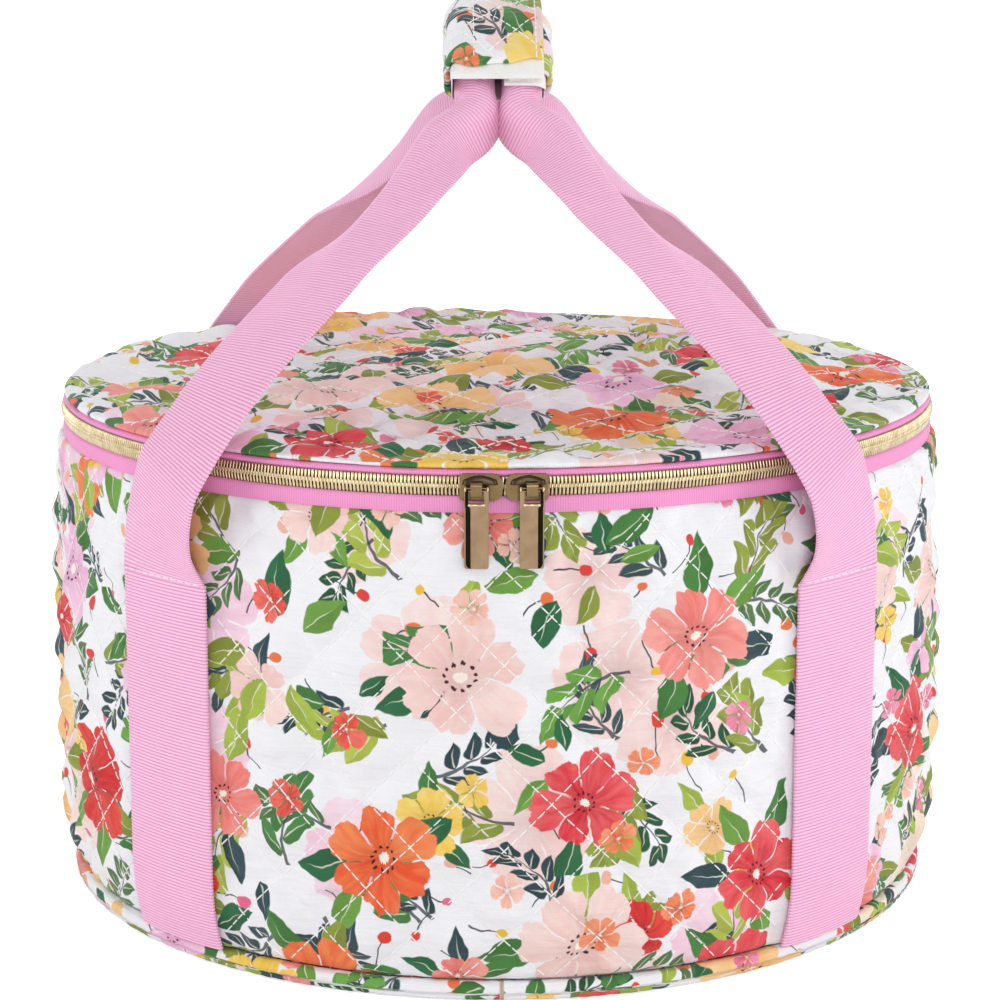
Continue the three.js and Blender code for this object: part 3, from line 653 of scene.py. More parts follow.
class MetalWear(Effect):
    """Brushed and handled metal: uneven gloss, fine lines and a warmer tone in places."""

    name = "metal_wear"
    inputs = {"Gloss": 0.2}
    outputs = ("Height", "Roughness", "Tone")

    def draw(self, sketch: Sketch, given: dict[str, Wire]) -> dict[str, Wire]:
        """Draws the group; see Effect.draw."""
        place = Wire(sketch, sketch.node("ShaderNodeTexCoord").outputs["Object"])
        x, y, z = sketch.split(place)
        lines = sketch.noise(sketch.join(x * 900.0, y * 900.0, z * 9000.0), 1.0, 2.0)
        cloud = sketch.noise(place, 260.0, 3.0)
        roughness = given["Gloss"] * (0.7 + cloud * 0.6) + lines * 0.05
        return {"Height": lines, "Roughness": roughness, "Tone": cloud.ramp(0.35, 0.7)}


# Finishes


@dataclass(frozen=True)
class Finish:
    """A named finish that makes its material once."""

    name: str

    def material(self) -> bpy.types.Material:
        """The finish's material."""
        made = bpy.data.materials.get(self.name)
        if made:
            return made
        made = bpy.data.materials.new(self.name)
        made.use_nodes = True
        sketch = Sketch(made.node_tree)
        shader = made.node_tree.nodes["Principled BSDF"]
        self.dress(sketch, shader)
        return made

    def dress(self, sketch: Sketch, shader: bpy.types.Node) -> None:
        """Draws the material's nodes.

        Args:
            sketch: the material's sketch.
            shader: its Principled BSDF.
        """
        raise NotImplementedError


@dataclass(frozen=True)
class PrintedCotton(Finish):
    """Printed cotton over wadding."""

    weave: float = 0.35
    roughness: float = 0.78

    def dress(self, sketch: Sketch, shader: bpy.types.Node) -> None:
        """Draws the material's nodes; see Finish.dress."""
        fabric = sketch.attribute("fabric")
        printed = sketch.use(FloralPrint(), Fabric=fabric)["Color"]
        weave = sketch.use(FineWeave(), Fabric=fabric, Pitch=self.weave, Slub=0.35)
        x, y, _ = sketch.split(fabric)
        pucker = sketch.noise(sketch.join(x * 0.11, y * 0.4), 1.0, 3.0)
        streak = sketch.noise(sketch.join(x * 0.05, y * 1.5), 1.0, 2.0) - 0.5
        height = weave["Height"] * 0.12 + pucker + streak * 0.2
        sketch.fit(
            shader,
            Base_Color=sketch.shade(printed, weave["Shade"] + streak * 0.09),
            Roughness=self.roughness + (pucker - 0.5) * 0.12,
            Normal=sketch.bump(height, 0.6, 0.0017),
            Sheen_Weight=0.12, Sheen_Roughness=0.4, Specular_IOR_Level=0.3,
        )


@dataclass(frozen=True)
class WovenBand(Finish):
    """Ribbed webbing or zip tape: cross ribs along the band and fibres in each rib, with painted shade
    darkening the grooves between them.
    """

    colour: str = "FDC8E6"
    groove_shade: str = "DA80B3"
    rib: float = 1.15
    fibre: float = 0.42
    relief: float = 0.0002

    def dress(self, sketch: Sketch, shader: bpy.types.Node) -> None:
        """Draws the material's nodes; see Finish.dress."""
        fabric = sketch.attribute("fabric")
        x, y, _ = sketch.split(fabric)
        phase = (y / self.rib).math("FRACT") - 0.5
        crest = 1.0 - (abs(phase) * 2.0) ** 2.0
        shifted = x + (y / self.rib).math("FLOOR") * self.fibre * 0.5
        strand = (shifted / self.fibre * TURN).math("SINE") * 0.5 + 0.5
        weave = sketch.use(FineWeave(), Fabric=fabric, Pitch=self.fibre * 0.5, Slub=0.6)
        patch = sketch.noise(fabric, 0.06, 2.0)
        depth = (crest * 0.75 + strand * 0.15 + weave["Height"] * 0.1).ramp(0.1, 0.75)
        # The groove colour is painted shade, mixed in where the ribs and fibres lie low.
        colour = sketch.mix(srgb(self.groove_shade), srgb(self.colour), depth)
        height = crest * 0.8 + strand * 0.3 + weave["Height"] * 0.15
        sketch.fit(
            shader,
            Base_Color=sketch.shade(colour, 0.96 + patch * 0.08),
            Roughness=0.72 + (1.0 - depth) * 0.15,
            Normal=sketch.bump(height, 0.6, self.relief),
            Sheen_Weight=0.25, Sheen_Roughness=0.35, Specular_IOR_Level=0.25,
        )


@dataclass(frozen=True)
class SmoothCloth(Finish):
    """Plain lining, thread or fleece: one colour with weave, soil and a soft nap."""

    colour: str = "F6F6F3"
    dull: str = "E4E3DE"
    weave: float = 0.5
    relief: float = 0.0003
    roughness: float = 0.6
    sheen: float = 0.1

    def dress(self, sketch: Sketch, shader: bpy.types.Node) -> None:
        """Draws the material's nodes; see Finish.dress."""
        fabric = sketch.attribute("fabric")
        weave = sketch.use(FineWeave(), Fabric=fabric, Pitch=self.weave, Slub=0.5)
        cloud = sketch.noise(fabric, 0.05, 4.0)
        crease = sketch.noise(fabric, 0.3, 3.0)
        colour = sketch.mix(srgb(self.colour), srgb(self.dull), cloud.ramp(0.4, 0.8) * 0.6)
        height = weave["Height"] * 0.3 + crease
        sketch.fit(
            shader,
            Base_Color=sketch.shade(colour, weave["Shade"]),
            Roughness=self.roughness + (crease - 0.5) * 0.2,
            Normal=sketch.bump(height, 0.5, self.relief),
            Sheen_Weight=self.sheen, Specular_IOR_Level=0.35,
        )


@dataclass(frozen=True)
class PaleGold(Finish):
    """Plated zip metal."""

    colour: str = "DDBE83"
    warm: str = "C79F5C"
    gloss: float = 0.2

    def dress(self, sketch: Sketch, shader: bpy.types.Node) -> None:
        """Draws the material's nodes; see Finish.dress."""
        wear = sketch.use(MetalWear(), Gloss=self.gloss)
        plated = sketch.mix(srgb(self.colour), srgb(self.warm), wear["Tone"] * 0.5)
        normal = sketch.bump(wear["Height"], 0.12, 0.0001)
        sketch.fit(shader, Base_Color=plated, Roughness=wear["Roughness"], Normal=normal, Metallic=1.0)


PRINT = PrintedCotton("printed_cotton")
WEBBING = WovenBand("pink_webbing")
TAPE = WovenBand("pink_zip_tape", colour="F4A0D0", groove_shade="E388BF", rib=0.8, fibre=0.5, relief=0.00008)
LINING = SmoothCloth("white_lining")
SPUN = {"weave": 0.3, "relief": 0.0001, "roughness": 0.5}
QUILT_THREAD = SmoothCloth("white_thread", colour="FDFCFA", dull="EFEDE8", **SPUN)
PINK_THREAD = SmoothCloth("pink_thread", colour="FDEAF5", dull="F8D2E8", **SPUN)
FLEECE = SmoothCloth(
    "white_loop_fleece", colour="F5F4F1", dull="E2E0DA", weave=0.9, relief=0.0008, roughness=0.9
)
GOLD = PaleGold("pale_gold", colour="927B61", warm="7A6449")
AGED_GOLD = PaleGold("aged_gold", colour="7A6548", warm="594930", gloss=0.24)
# Dark metal of the slider's cap: a painted dark reflection.
PAINTED_REFLECTION_DARK = PaleGold("dark_painted_reflection", colour="43372A", warm="2A2118", gloss=0.28)
TOOTH_GOLD = PaleGold("pale_gold_teeth", colour="CDBC98", warm="917C59", gloss=0.15)
# Dark metal of the pull's outer facet: a painted dark reflection.
PAINTED_REFLECTION_EDGE = PaleGold("pull_edge_painted_reflection", colour="1E1811", warm="110D08", gloss=0.32)


# Meshes, in millimetres


@dataclass
class Sheet:
    """Points, faces and cloth coordinates of a mesh in the making."""

    points: np.ndarray
    faces: list[Sequence[int]]
    fabric: np.ndarray

    def add(self, other: "Sheet") -> "Sheet":
        """This sheet and another one as one."""
        first = len(self.points)
        faces = self.faces + [tuple(int(i) + first for i in face) for face in other.faces]
        return Sheet(
            np.vstack([self.points, other.points]), faces, np.vstack([self.fabric, other.fabric])
        )

    def build(self, name: str, finish: Finish, subdivide: int = 0) -> bpy.types.Object:
        """The sheet as an object.

        Args:
            name: the piece's name.
            finish: its finish.
            subdivide: levels of subdivision.

        Returns:
            The object, in metres.
        """
        mesh = bpy.data.meshes.new(name)
        mesh.from_pydata((self.points * MM).tolist(), [], [tuple(map(int, face)) for face in self.faces])
        layer = mesh.attributes.new("fabric", "FLOAT_VECTOR", "POINT")
        layer.data.foreach_set("vector", self.fabric.astype(np.float32).ravel())
        mesh.polygons.foreach_set("use_smooth", [True] * len(mesh.polygons))
        mesh.materials.append(finish.material())
        mesh.update()
        made = bpy.data.objects.new(name, mesh)
        bpy.context.scene.collection.objects.link(made)
        if subdivide:
            modifier = made.modifiers.new("soften", "SUBSURF")
            modifier.levels = modifier.render_levels = subdivide
        return made


def polar(azimuth: np.ndarray | float, radius: np.ndarray | float, height: np.ndarray | float) -> np.ndarray:
    """Points by their angle from the front, positive to the right, their radius and their height."""
    azimuth, radius, height = np.broadcast_arrays(azimuth, radius, height)
    return np.stack([radius * np.sin(azimuth), -radius * np.cos(azimuth), height], axis=-1)


def grid_faces(
    rows: int, columns: int, round_rows: bool = False, round_columns: bool = False
) -> list[Sequence[int]]:
    """Quads of a grid of points in row order.

    Args:
        rows: number of rows.
        columns: number of columns.
        round_rows: whether the last row joins the first.
        round_columns: whether the last column joins the first.

    Returns:
        The quads.
    """
    j = np.arange(rows if round_rows else rows - 1)[:, None]
    i = np.arange(columns if round_columns else columns - 1)[None, :]
    j2, i2 = (j + 1) % rows, (i + 1) % columns
    corners = [j * columns + i, j * columns + i2, j2 * columns + i2, j2 * columns + i]
    return np.stack(corners, -1).reshape(-1, 4).tolist()


def caps(size: int, total: int) -> list[Sequence[int]]:
    """End faces of a tube, by the points in each of its rings and in all of it."""
    return [tuple(range(size))[::-1], tuple(range(total - size, total))]


def cloth_at(x: np.ndarray | float, y: np.ndarray | float) -> np.ndarray:
    """Cloth coordinates in row order."""
    return np.stack(np.broadcast_arrays(x, y, 0.0), -1).reshape(-1, 3)


def unit(vectors: np.ndarray) -> np.ndarray:
    """The vectors at length 1."""
    return vectors / np.linalg.norm(vectors, axis=1, keepdims=True)


def fill(flat: np.ndarray, count: int, first: int = 0) -> tuple[list, ...]:
    """Triangles of flat points within a closed border.

    Args:
        flat: the points.
        count: how many of them are the border, in order.
        first: number of the border's first point.

    Returns:
        The result of Blender's triangulation.
    """
    border = [(first + k, first + (k + 1) % count) for k in range(count)]
    return geometry.delaunay_2d_cdt([Vector(p) for p in flat], border, [], 1, 1e-5)


def smooth(value: np.ndarray, low: float, high: float) -> np.ndarray:
    """0 up to low, 1 from high, and a soft step between them."""
    share = np.clip((value - low) / (high - low), 0, 1)
    return share * share * (3 - 2 * share)


def lengths(points: np.ndarray) -> np.ndarray:
    """Distance of each point along its line."""
    return np.concatenate([[0], np.cumsum(np.linalg.norm(np.diff(points, axis=0), axis=1))])


def runs(on: np.ndarray, least: int) -> list[np.ndarray]:
    """Unbroken runs of the places that are on, without those that are shorter than the least."""
    parts = np.split(np.arange(len(on)), np.flatnonzero(np.diff(on.astype(int))) + 1)
    return [part for part in parts if len(part) >= least and on[part[0]]]


def read_at(line: np.ndarray, along: np.ndarray, at: np.ndarray) -> np.ndarray:
    """A line's values at some distances, by the distances of its own points."""
    return np.stack([np.interp(at, along, line[:, k]) for k in range(line.shape[1])], -1)


def even(line: np.ndarray, count: int) -> np.ndarray:
    """The same line with a given number of points at even distances."""
    along = lengths(line)
    return read_at(line, along, np.linspace(0, along[-1], count))


def resample(line: np.ndarray, step: float) -> np.ndarray:
    """The same line with points about a step apart."""
    return even(line, max(2, round(lengths(line)[-1] / step) + 1))


def rounded(
    corners: Sequence[tuple[float, float]], radius: float | Sequence[float], steps: int = 5
) -> np.ndarray:
    """A line through corners, with each inner corner rounded.

    Args:
        corners: the corners.
        radius: distance from a corner at which its rounding starts, for all inner corners or for each.
        steps: points in each rounding.

    Returns:
        The line's points.
    """
    points = [np.array(corners[0], float)]
    sizes = np.broadcast_to(radius, len(corners) - 2)
    for before, corner, after, size in zip(corners, corners[1:], corners[2:], sizes):
        corner = np.array(corner, float)
        back = (np.array(before) - corner) / np.linalg.norm(np.array(before) - corner)
        on = (np.array(after) - corner) / np.linalg.norm(np.array(after) - corner)
        for t in np.linspace(0, 1, steps):
            points.append(corner + back * size * (1 - t) ** 2 + on * size * t**2)
    points.append(np.array(corners[-1], float))
    return np.array(points)


def revolve(profile: np.ndarray, start: float, end: float, steps: int, cloth_radius: float) -> Sheet:
    """A closed outline of radius and height swept round Z.

    Args:
        profile: the outline.
        start: first azimuth.
        end: last azimuth; a full turn joins up.
        steps: stations on the way.
        cloth_radius: radius at which the cloth's length is measured.

    Returns:
        The swept sheet, with capped ends unless it is a full turn.
    """
    whole = abs(end - start) > TURN - 1e-6
    azimuth = np.linspace(start, end, steps + 1)[: steps if whole else None]
    count = len(profile)
    points = polar(azimuth[:, None], profile[None, :, 0], profile[None, :, 1]).reshape(-1, 3)
    fabric = cloth_at(azimuth[:, None] * cloth_radius, lengths(profile)[None, :])
    faces = grid_faces(len(azimuth), count, round_rows=whole, round_columns=True)
    if not whole:
        faces += caps(count, len(points))
    return Sheet(points, faces, fabric)


def band_outline(line: np.ndarray, thickness: float) -> np.ndarray:
    """A line of points thickened to both sides, as a closed outline with thin ends."""
    tangent = unit(np.gradient(line, axis=0))
    normal = np.stack([-tangent[:, 1], tangent[:, 0]], -1)
    half = np.full(len(line), thickness / 2)
    half[[0, -1]] *= 0.45
    return np.vstack([line + normal * half[:, None], (line - normal * half[:, None])[::-1]])


def place(piece: bpy.types.Object, body: Body, slot: Slot, *nodes: str) -> bpy.types.Object:
    """Puts a piece on its body.

    Args:
        piece: the piece.
        body: the body that it rides on.
        slot: the record's slot of its finish; not used.
        nodes: the frame's nodes that it stands for.

    Returns:
        The piece.
    """
    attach(piece, body.value)
    if nodes:
        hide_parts(*nodes)
    LOG.info("%s rides on %s", piece.name, body.value)
    return piece


def surface_of(piece: bpy.types.Object) -> BVHTree:
    """The piece's final surface for casting rays on."""
    return BVHTree.FromObject(piece, bpy.context.evaluated_depsgraph_get())


def drop_on(tree: BVHTree, start: np.ndarray, way: np.ndarray) -> np.ndarray:
    """Points cast on a surface.

    Args:
        tree: the surface.
        start: where the rays start, in millimetres.
        way: the rays' directions.

    Returns:
        The points in millimetres, not a number where a ray misses.
    """
    points = np.full(start.shape, np.nan)
    for i, (p, d) in enumerate(zip(start, way)):
        hit, *_ = tree.ray_cast(Vector(p * MM), Vector(d))
        if hit is not None:
            points[i] = np.array(hit) / MM
    return points


@dataclass(frozen=True)
class Stitching:
    """Rows of sewing thread."""

    pitch: float = 4.2
    length: float = 3.8
    radius: float = 0.25
    sides: int = 5

    def thread(self, begin: np.ndarray, middle: np.ndarray, end: np.ndarray, up: np.ndarray) -> Sheet:
        """Stitches through given points.

        Args:
            begin: first points of the stitches.
            middle: their middles.
            end: their last points.
            up: directions away from the cloth.

        Returns:
            The stitches as one sheet.
        """
        count = len(begin)
        along = unit(end - begin)
        across = unit(np.cross(along, up))
        high = np.cross(across, along)
        rings = [(begin, -0.5, 0.45), (begin * 0.68 + middle * 0.32, 0.35, 1.0), (middle, 0.6, 1.05),
                 (end * 0.68 + middle * 0.32, 0.35, 1.0), (end, -0.5, 0.45)]
        turns = np.linspace(0, TURN, self.sides, endpoint=False)
        layers = []
        for at, lift, thick in rings:
            centre = at + high * lift * self.radius
            around = np.cos(turns)[None, :, None] * across[:, None]
            around = around + np.sin(turns)[None, :, None] * high[:, None]
            layers.append(centre[:, None] + around * self.radius * thick)
        points = np.stack(layers, 1)
        one = grid_faces(len(rings), self.sides, round_columns=True)
        size = len(rings) * self.sides
        one += caps(self.sides, size)
        faces = [tuple(i + s * size for i in face) for s in range(count) for face in one]
        fabric = points.reshape(-1, 3)
        return Sheet(fabric.copy(), faces, fabric.copy())

    def spans(self, line: np.ndarray) -> tuple[np.ndarray, np.ndarray, np.ndarray]:
        """Begin, middle and end of each stitch along a line of points."""
        along = lengths(line)
        count = max(1, int(along[-1] / self.pitch))
        centre = (np.arange(count) + 0.5) * along[-1] / count
        at = [centre - self.length / 2, centre, centre + self.length / 2]
        return tuple(read_at(line, along, a) for a in at)


def sew(
    tree: BVHTree, lines: Sequence[np.ndarray], ways: Sequence[np.ndarray], stitching: Stitching
) -> Sheet:
    """Stitches along lines that are cast on a surface.

    Args:
        tree: the surface.
        lines: lines of points outside the surface.
        ways: for each line, the directions to the surface at its points.
        stitching: the kind of stitch.

    Returns:
        The stitches.
    """
    begins, middles, ends, ups = [], [], [], []
    for line, way in zip(lines, ways):
        both = np.hstack([line, way])
        b, m, e = stitching.spans(both)
        hits = [drop_on(tree, part[:, :3], part[:, 3:]) for part in (b, m, e)]
        on = np.all([np.isfinite(hit[:, 0]) for hit in hits], axis=0)
        on &= np.linalg.norm(np.nan_to_num(hits[2] - hits[0]), axis=1) < stitching.length * 1.3
        begins.append(hits[0][on])
        middles.append(hits[1][on])
        ends.append(hits[2][on])
        ups.append(-m[on, 3:])
    return stitching.thread(np.vstack(begins), np.vstack(middles), np.vstack(ends), np.vstack(ups))


@dataclass(frozen=True)
class Inflation:
    """Cloth simulation of wadding that swells between stitched lines."""

    pressure: float = 16.0
    slack: float = 0.1
    frames: int = 16
    cap: float = 4.4
    quality: int = 4
    stiffness: float = 0.02

    def run(self, sheet: Sheet, held: np.ndarray) -> np.ndarray:
        """Swells a sheet along its normals.

        Args:
            sheet: the sheet, with faces that look outwards.
            held: for each point, how firmly it is sewn down.

        Returns:
            The points after the simulation, none moved further than the cap.
        """
        cloth = sheet.build("swelling_sheet", LINING)
        group = cloth.vertex_groups.new(name="sewn")
        for level in np.unique(held):
            if level > 0:
                group.add(np.flatnonzero(held == level).tolist(), float(level), "REPLACE")
        modifier = cloth.modifiers.new("cloth", "CLOTH")
        settings = modifier.settings
        settings.quality = self.quality
        settings.vertex_group_mass = group.name
        settings.use_pressure = True
        settings.uniform_pressure_force = self.pressure
        settings.shrink_min = -self.slack
        settings.bending_stiffness = self.stiffness
        settings.effector_weights.gravity = 0.0
        modifier.collision_settings.use_collision = False
        modifier.point_cache.frame_end = self.frames
        scene = bpy.context.scene
        for number in range(1, self.frames + 1):
            scene.frame_set(number)
        evaluated = cloth.evaluated_get(bpy.context.evaluated_depsgraph_get())
        moved = np.empty(len(sheet.points) * 3, np.float32)
        evaluated.data.vertices.foreach_get("co", moved)
        scene.frame_set(1)
        mesh = cloth.data
        bpy.data.objects.remove(cloth)
        bpy.data.meshes.remove(mesh)
        shift = moved.reshape(-1, 3).astype(float) / MM - sheet.points
        far = np.linalg.norm(shift, axis=1, keepdims=True)
        return sheet.points + shift * np.minimum(1, self.cap / np.maximum(far, 1e-9))


@dataclass(frozen=True)
class Quilting:
    """Stitched diamonds."""

    diagonal: float = 30.56
    cells: int = 5
    puff: float = 2.6

    @property
    def step(self) -> float:
        """Distance of the mesh's points."""
        return self.diagonal / 2 / self.cells

    def pillow(self, x: np.ndarray, y: np.ndarray) -> np.ndarray:
        """Swell between the lines, from 0 on a line to 1 in a diamond's middle."""
        a = np.abs(np.sin(math.pi * (x + y) / self.diagonal))
        b = np.abs(np.sin(math.pi * (x - y) / self.diagonal))
        return (a * b) ** 0.6


QUILTING = Quilting()


# Sub-assemblies


@dataclass
class SideWall:
    """Quilted outer wall with its lining, mouth binding and the strap legs' bed."""

    radius: float = 160.5
    foot: float = 6.9
    mouth: float = 163.0
    foot_draw_in: float = 4.0
    foot_rise: float = 26.0
    mouth_draw_in: float = 0.8
    mouth_drop: float = 16.0
    diamonds: int = 33
    recess: float = 1.9
    bed: float = 0.25
    leg_azimuth: float = math.radians(43.5)
    leg_half_width: float = 20.0
    leg_top: float = 133.0
    depth: float = 2.4
    lining_depth: float = 9.0
    lining_foot: float = 9.9
    cast_from: float = 15.0

    def profile(self, height: np.ndarray | float) -> np.ndarray:
        """Outer radius at a height."""
        foot = np.clip((height - self.foot) / self.foot_rise, 0, 1)
        mouth = np.clip((self.mouth - height) / self.mouth_drop, 0, 1)
        return self.radius - self.foot_draw_in * (1 - foot) ** 2 - self.mouth_draw_in * (1 - mouth) ** 2

    def under_leg(self, azimuth: np.ndarray, height: np.ndarray) -> np.ndarray:
        """1 under a sewn strap leg and 0 away from it."""
        away = np.full(np.broadcast(azimuth, height).shape, 1e3)
        for centre in (self.leg_azimuth, math.pi - self.leg_azimuth):
            for sign in (-1, 1):
                off = np.abs((azimuth - sign * centre + math.pi) % TURN - math.pi) * self.radius
                away = np.minimum(away, off)
        beside = 1 - smooth(away, self.leg_half_width - 1.0, self.leg_half_width + 3.5)
        return beside * (1 - smooth(height, self.leg_top - 1, self.leg_top + 5))

    def build(self) -> None:
        """Makes the wall, its stitches and its lining."""
        panel = self.panel()
        place(panel, Body.CARRIER, Slot.PRINT, "side_panel", "side_insulation")
        place(self.stitches(panel), Body.CARRIER, Slot.PRINT)
        place(self.lining(), Body.CARRIER, Slot.LINING, "side_lining")
        place(self.mouth_edge(), Body.CARRIER, Slot.LINING, "mouth_binding")

    def panel(self) -> bpy.types.Object:
        """The quilted panel, sewn into a ring with its seam at the back."""
        cells = QUILTING.cells
        columns = self.diamonds * 2 * cells + 1
        rows = round((self.mouth - self.foot) / QUILTING.step) + 1
        azimuth = np.linspace(-math.pi, math.pi, columns)[None, :]
        height = np.linspace(self.foot, self.mouth, rows)[:, None]
        leg = self.under_leg(azimuth, height)
        inward = self.recess * (1 - leg) + self.bed * leg
        sway = 0.7 * np.sin(azimuth * 5 + 0.6) * np.sin(height / 31) + 0.6 * np.sin(azimuth * 9 + height / 38)
        window = smooth(height, self.foot, self.foot + 30)
        window = window * (1 - smooth(height, self.mouth - 25, self.mouth)) * (1 - leg)
        radius = self.profile(height) - inward + sway * window
        points = polar(azimuth, radius, height).reshape(-1, 3)
        fabric = cloth_at(azimuth * self.radius, height)
        i, j = np.meshgrid(np.arange(columns), np.arange(rows))
        faces = self.cut_on_lines(rows, columns, 2 * cells)
        on_line = ((i - j) % (2 * cells) == 0) | ((i + j) % (2 * cells) == 0)
        edge = (j == 0) | (j == rows - 1) | (i == 0) | (i == columns - 1)
        held = np.where(on_line | edge | (leg > 0.5), 1.0, 0.0).ravel()
        outer = Sheet(points, faces, fabric)
        outer.points = Inflation().run(outer, held)
        return self.closed(outer, rows, columns).build("side_quilt", PRINT, subdivide=1)

    def cut_on_lines(self, rows: int, columns: int, period: int) -> list[Sequence[int]]:
        """Faces of the panel's grid, cut into triangles along the stitched lines."""
        faces: list[Sequence[int]] = []
        for j in range(rows - 1):
            for i in range(columns - 1):
                a, b = j * columns + i, j * columns + i + 1
                c, d = b + columns, a + columns
                if (i - j) % period == 0:
                    faces += [(a, b, c), (a, c, d)]
                elif (i + j + 1) % period == 0:
                    faces += [(a, b, d), (b, c, d)]
                else:
                    faces.append((a, b, c, d))
        return faces

    def closed(self, outer: Sheet, rows: int, columns: int) -> Sheet:
        """The outer sheet with turned edges and an inner face, so that it has a thickness."""
        heights = np.array([self.mouth, self.mouth - 4, 120, 80, 40, self.foot + 4, self.foot])
        inner_radius = self.profile(heights) - self.recess - self.depth
        azimuth = np.linspace(-math.pi, math.pi, columns)
        inner = polar(azimuth[None, :], inner_radius[:, None], heights[:, None]).reshape(-1, 3)
        cloth = cloth_at(azimuth[None, :] * self.radius, heights[:, None])
        first = (rows - 1) * columns
        faces = list(outer.faces)
        back = [range(first, first + columns)]
        start = len(outer.points)
        back += [range(start + k * columns, start + (k + 1) * columns) for k in range(len(heights))]
        back.append(range(columns))
        for low, high in zip(back, back[1:]):
            faces += [(low[i], low[i + 1], high[i + 1], high[i]) for i in range(columns - 1)]
        return Sheet(np.vstack([outer.points, inner]), faces, np.vstack([outer.fabric, cloth]))

    def stitches(self, panel: bpy.types.Object) -> bpy.types.Object:
        """The quilting thread on the panel."""
        tree = surface_of(panel)
        height = np.linspace(self.foot + 1.5, self.mouth - 1.5, 90)
        tall = self.mouth - self.foot
        rise = (height - self.foot) / tall * round(tall / QUILTING.step)
        period = 2 * QUILTING.cells
        lines, ways = [], []
        for start in range(self.diamonds):
            for lean in (-1, 1):
                turn = (start * period + lean * rise) / (self.diamonds * period) * TURN - math.pi
                for run in runs(self.under_leg(turn, height) < 0.6, 4):
                    lines.append(polar(turn[run], self.radius + self.cast_from, height[run]))
                    ways.append(polar(turn[run], -1.0, 0.0))
        return sew(tree, lines, ways, Stitching()).build("side_quilting_thread", QUILT_THREAD)

    def lining(self) -> bpy.types.Object:
        """The loose inner lining."""
        rows, columns = 40, 240
        height = np.linspace(self.lining_foot, self.mouth, rows)
        azimuth = np.linspace(0, TURN, columns, endpoint=False)
        ripple = 0.35 * np.sin(azimuth * 17)[None, :] * np.sin(height / 23)[:, None]
        ripple = ripple + 0.3 * np.sin(azimuth[None, :] * 29 + height[:, None] / 9)
        ripple *= np.sin(math.pi * np.linspace(0, 1, rows))[:, None]
        base = self.profile(height)[:, None]
        inner = polar(azimuth[None, :], base - self.lining_depth - 0.4 + ripple * 0.8, height[:, None])
        outer = polar(azimuth[None, :], base - self.lining_depth + 0.4 + ripple * 0.8, height[:, None])[::-1]
        points = np.concatenate([inner, outer]).reshape(-1, 3)
        fabric = cloth_at(azimuth[None, :] * 151, np.r_[height, height[::-1]][:, None])
        faces = [face[::-1] for face in grid_faces(2 * rows, columns, round_rows=True, round_columns=True)]
        return Sheet(points, faces, fabric).build("inner_lining", LINING)

    def mouth_edge(self) -> bpy.types.Object:
        """The bound edge round the mouth."""
        line = rounded([(150.2, 163.2), (150.2, 164.7), (154.7, 164.7), (154.7, 163.2)], 0.7)
        return revolve(line, 0, TURN, 180, 152).build("mouth_edge_binding", LINING)


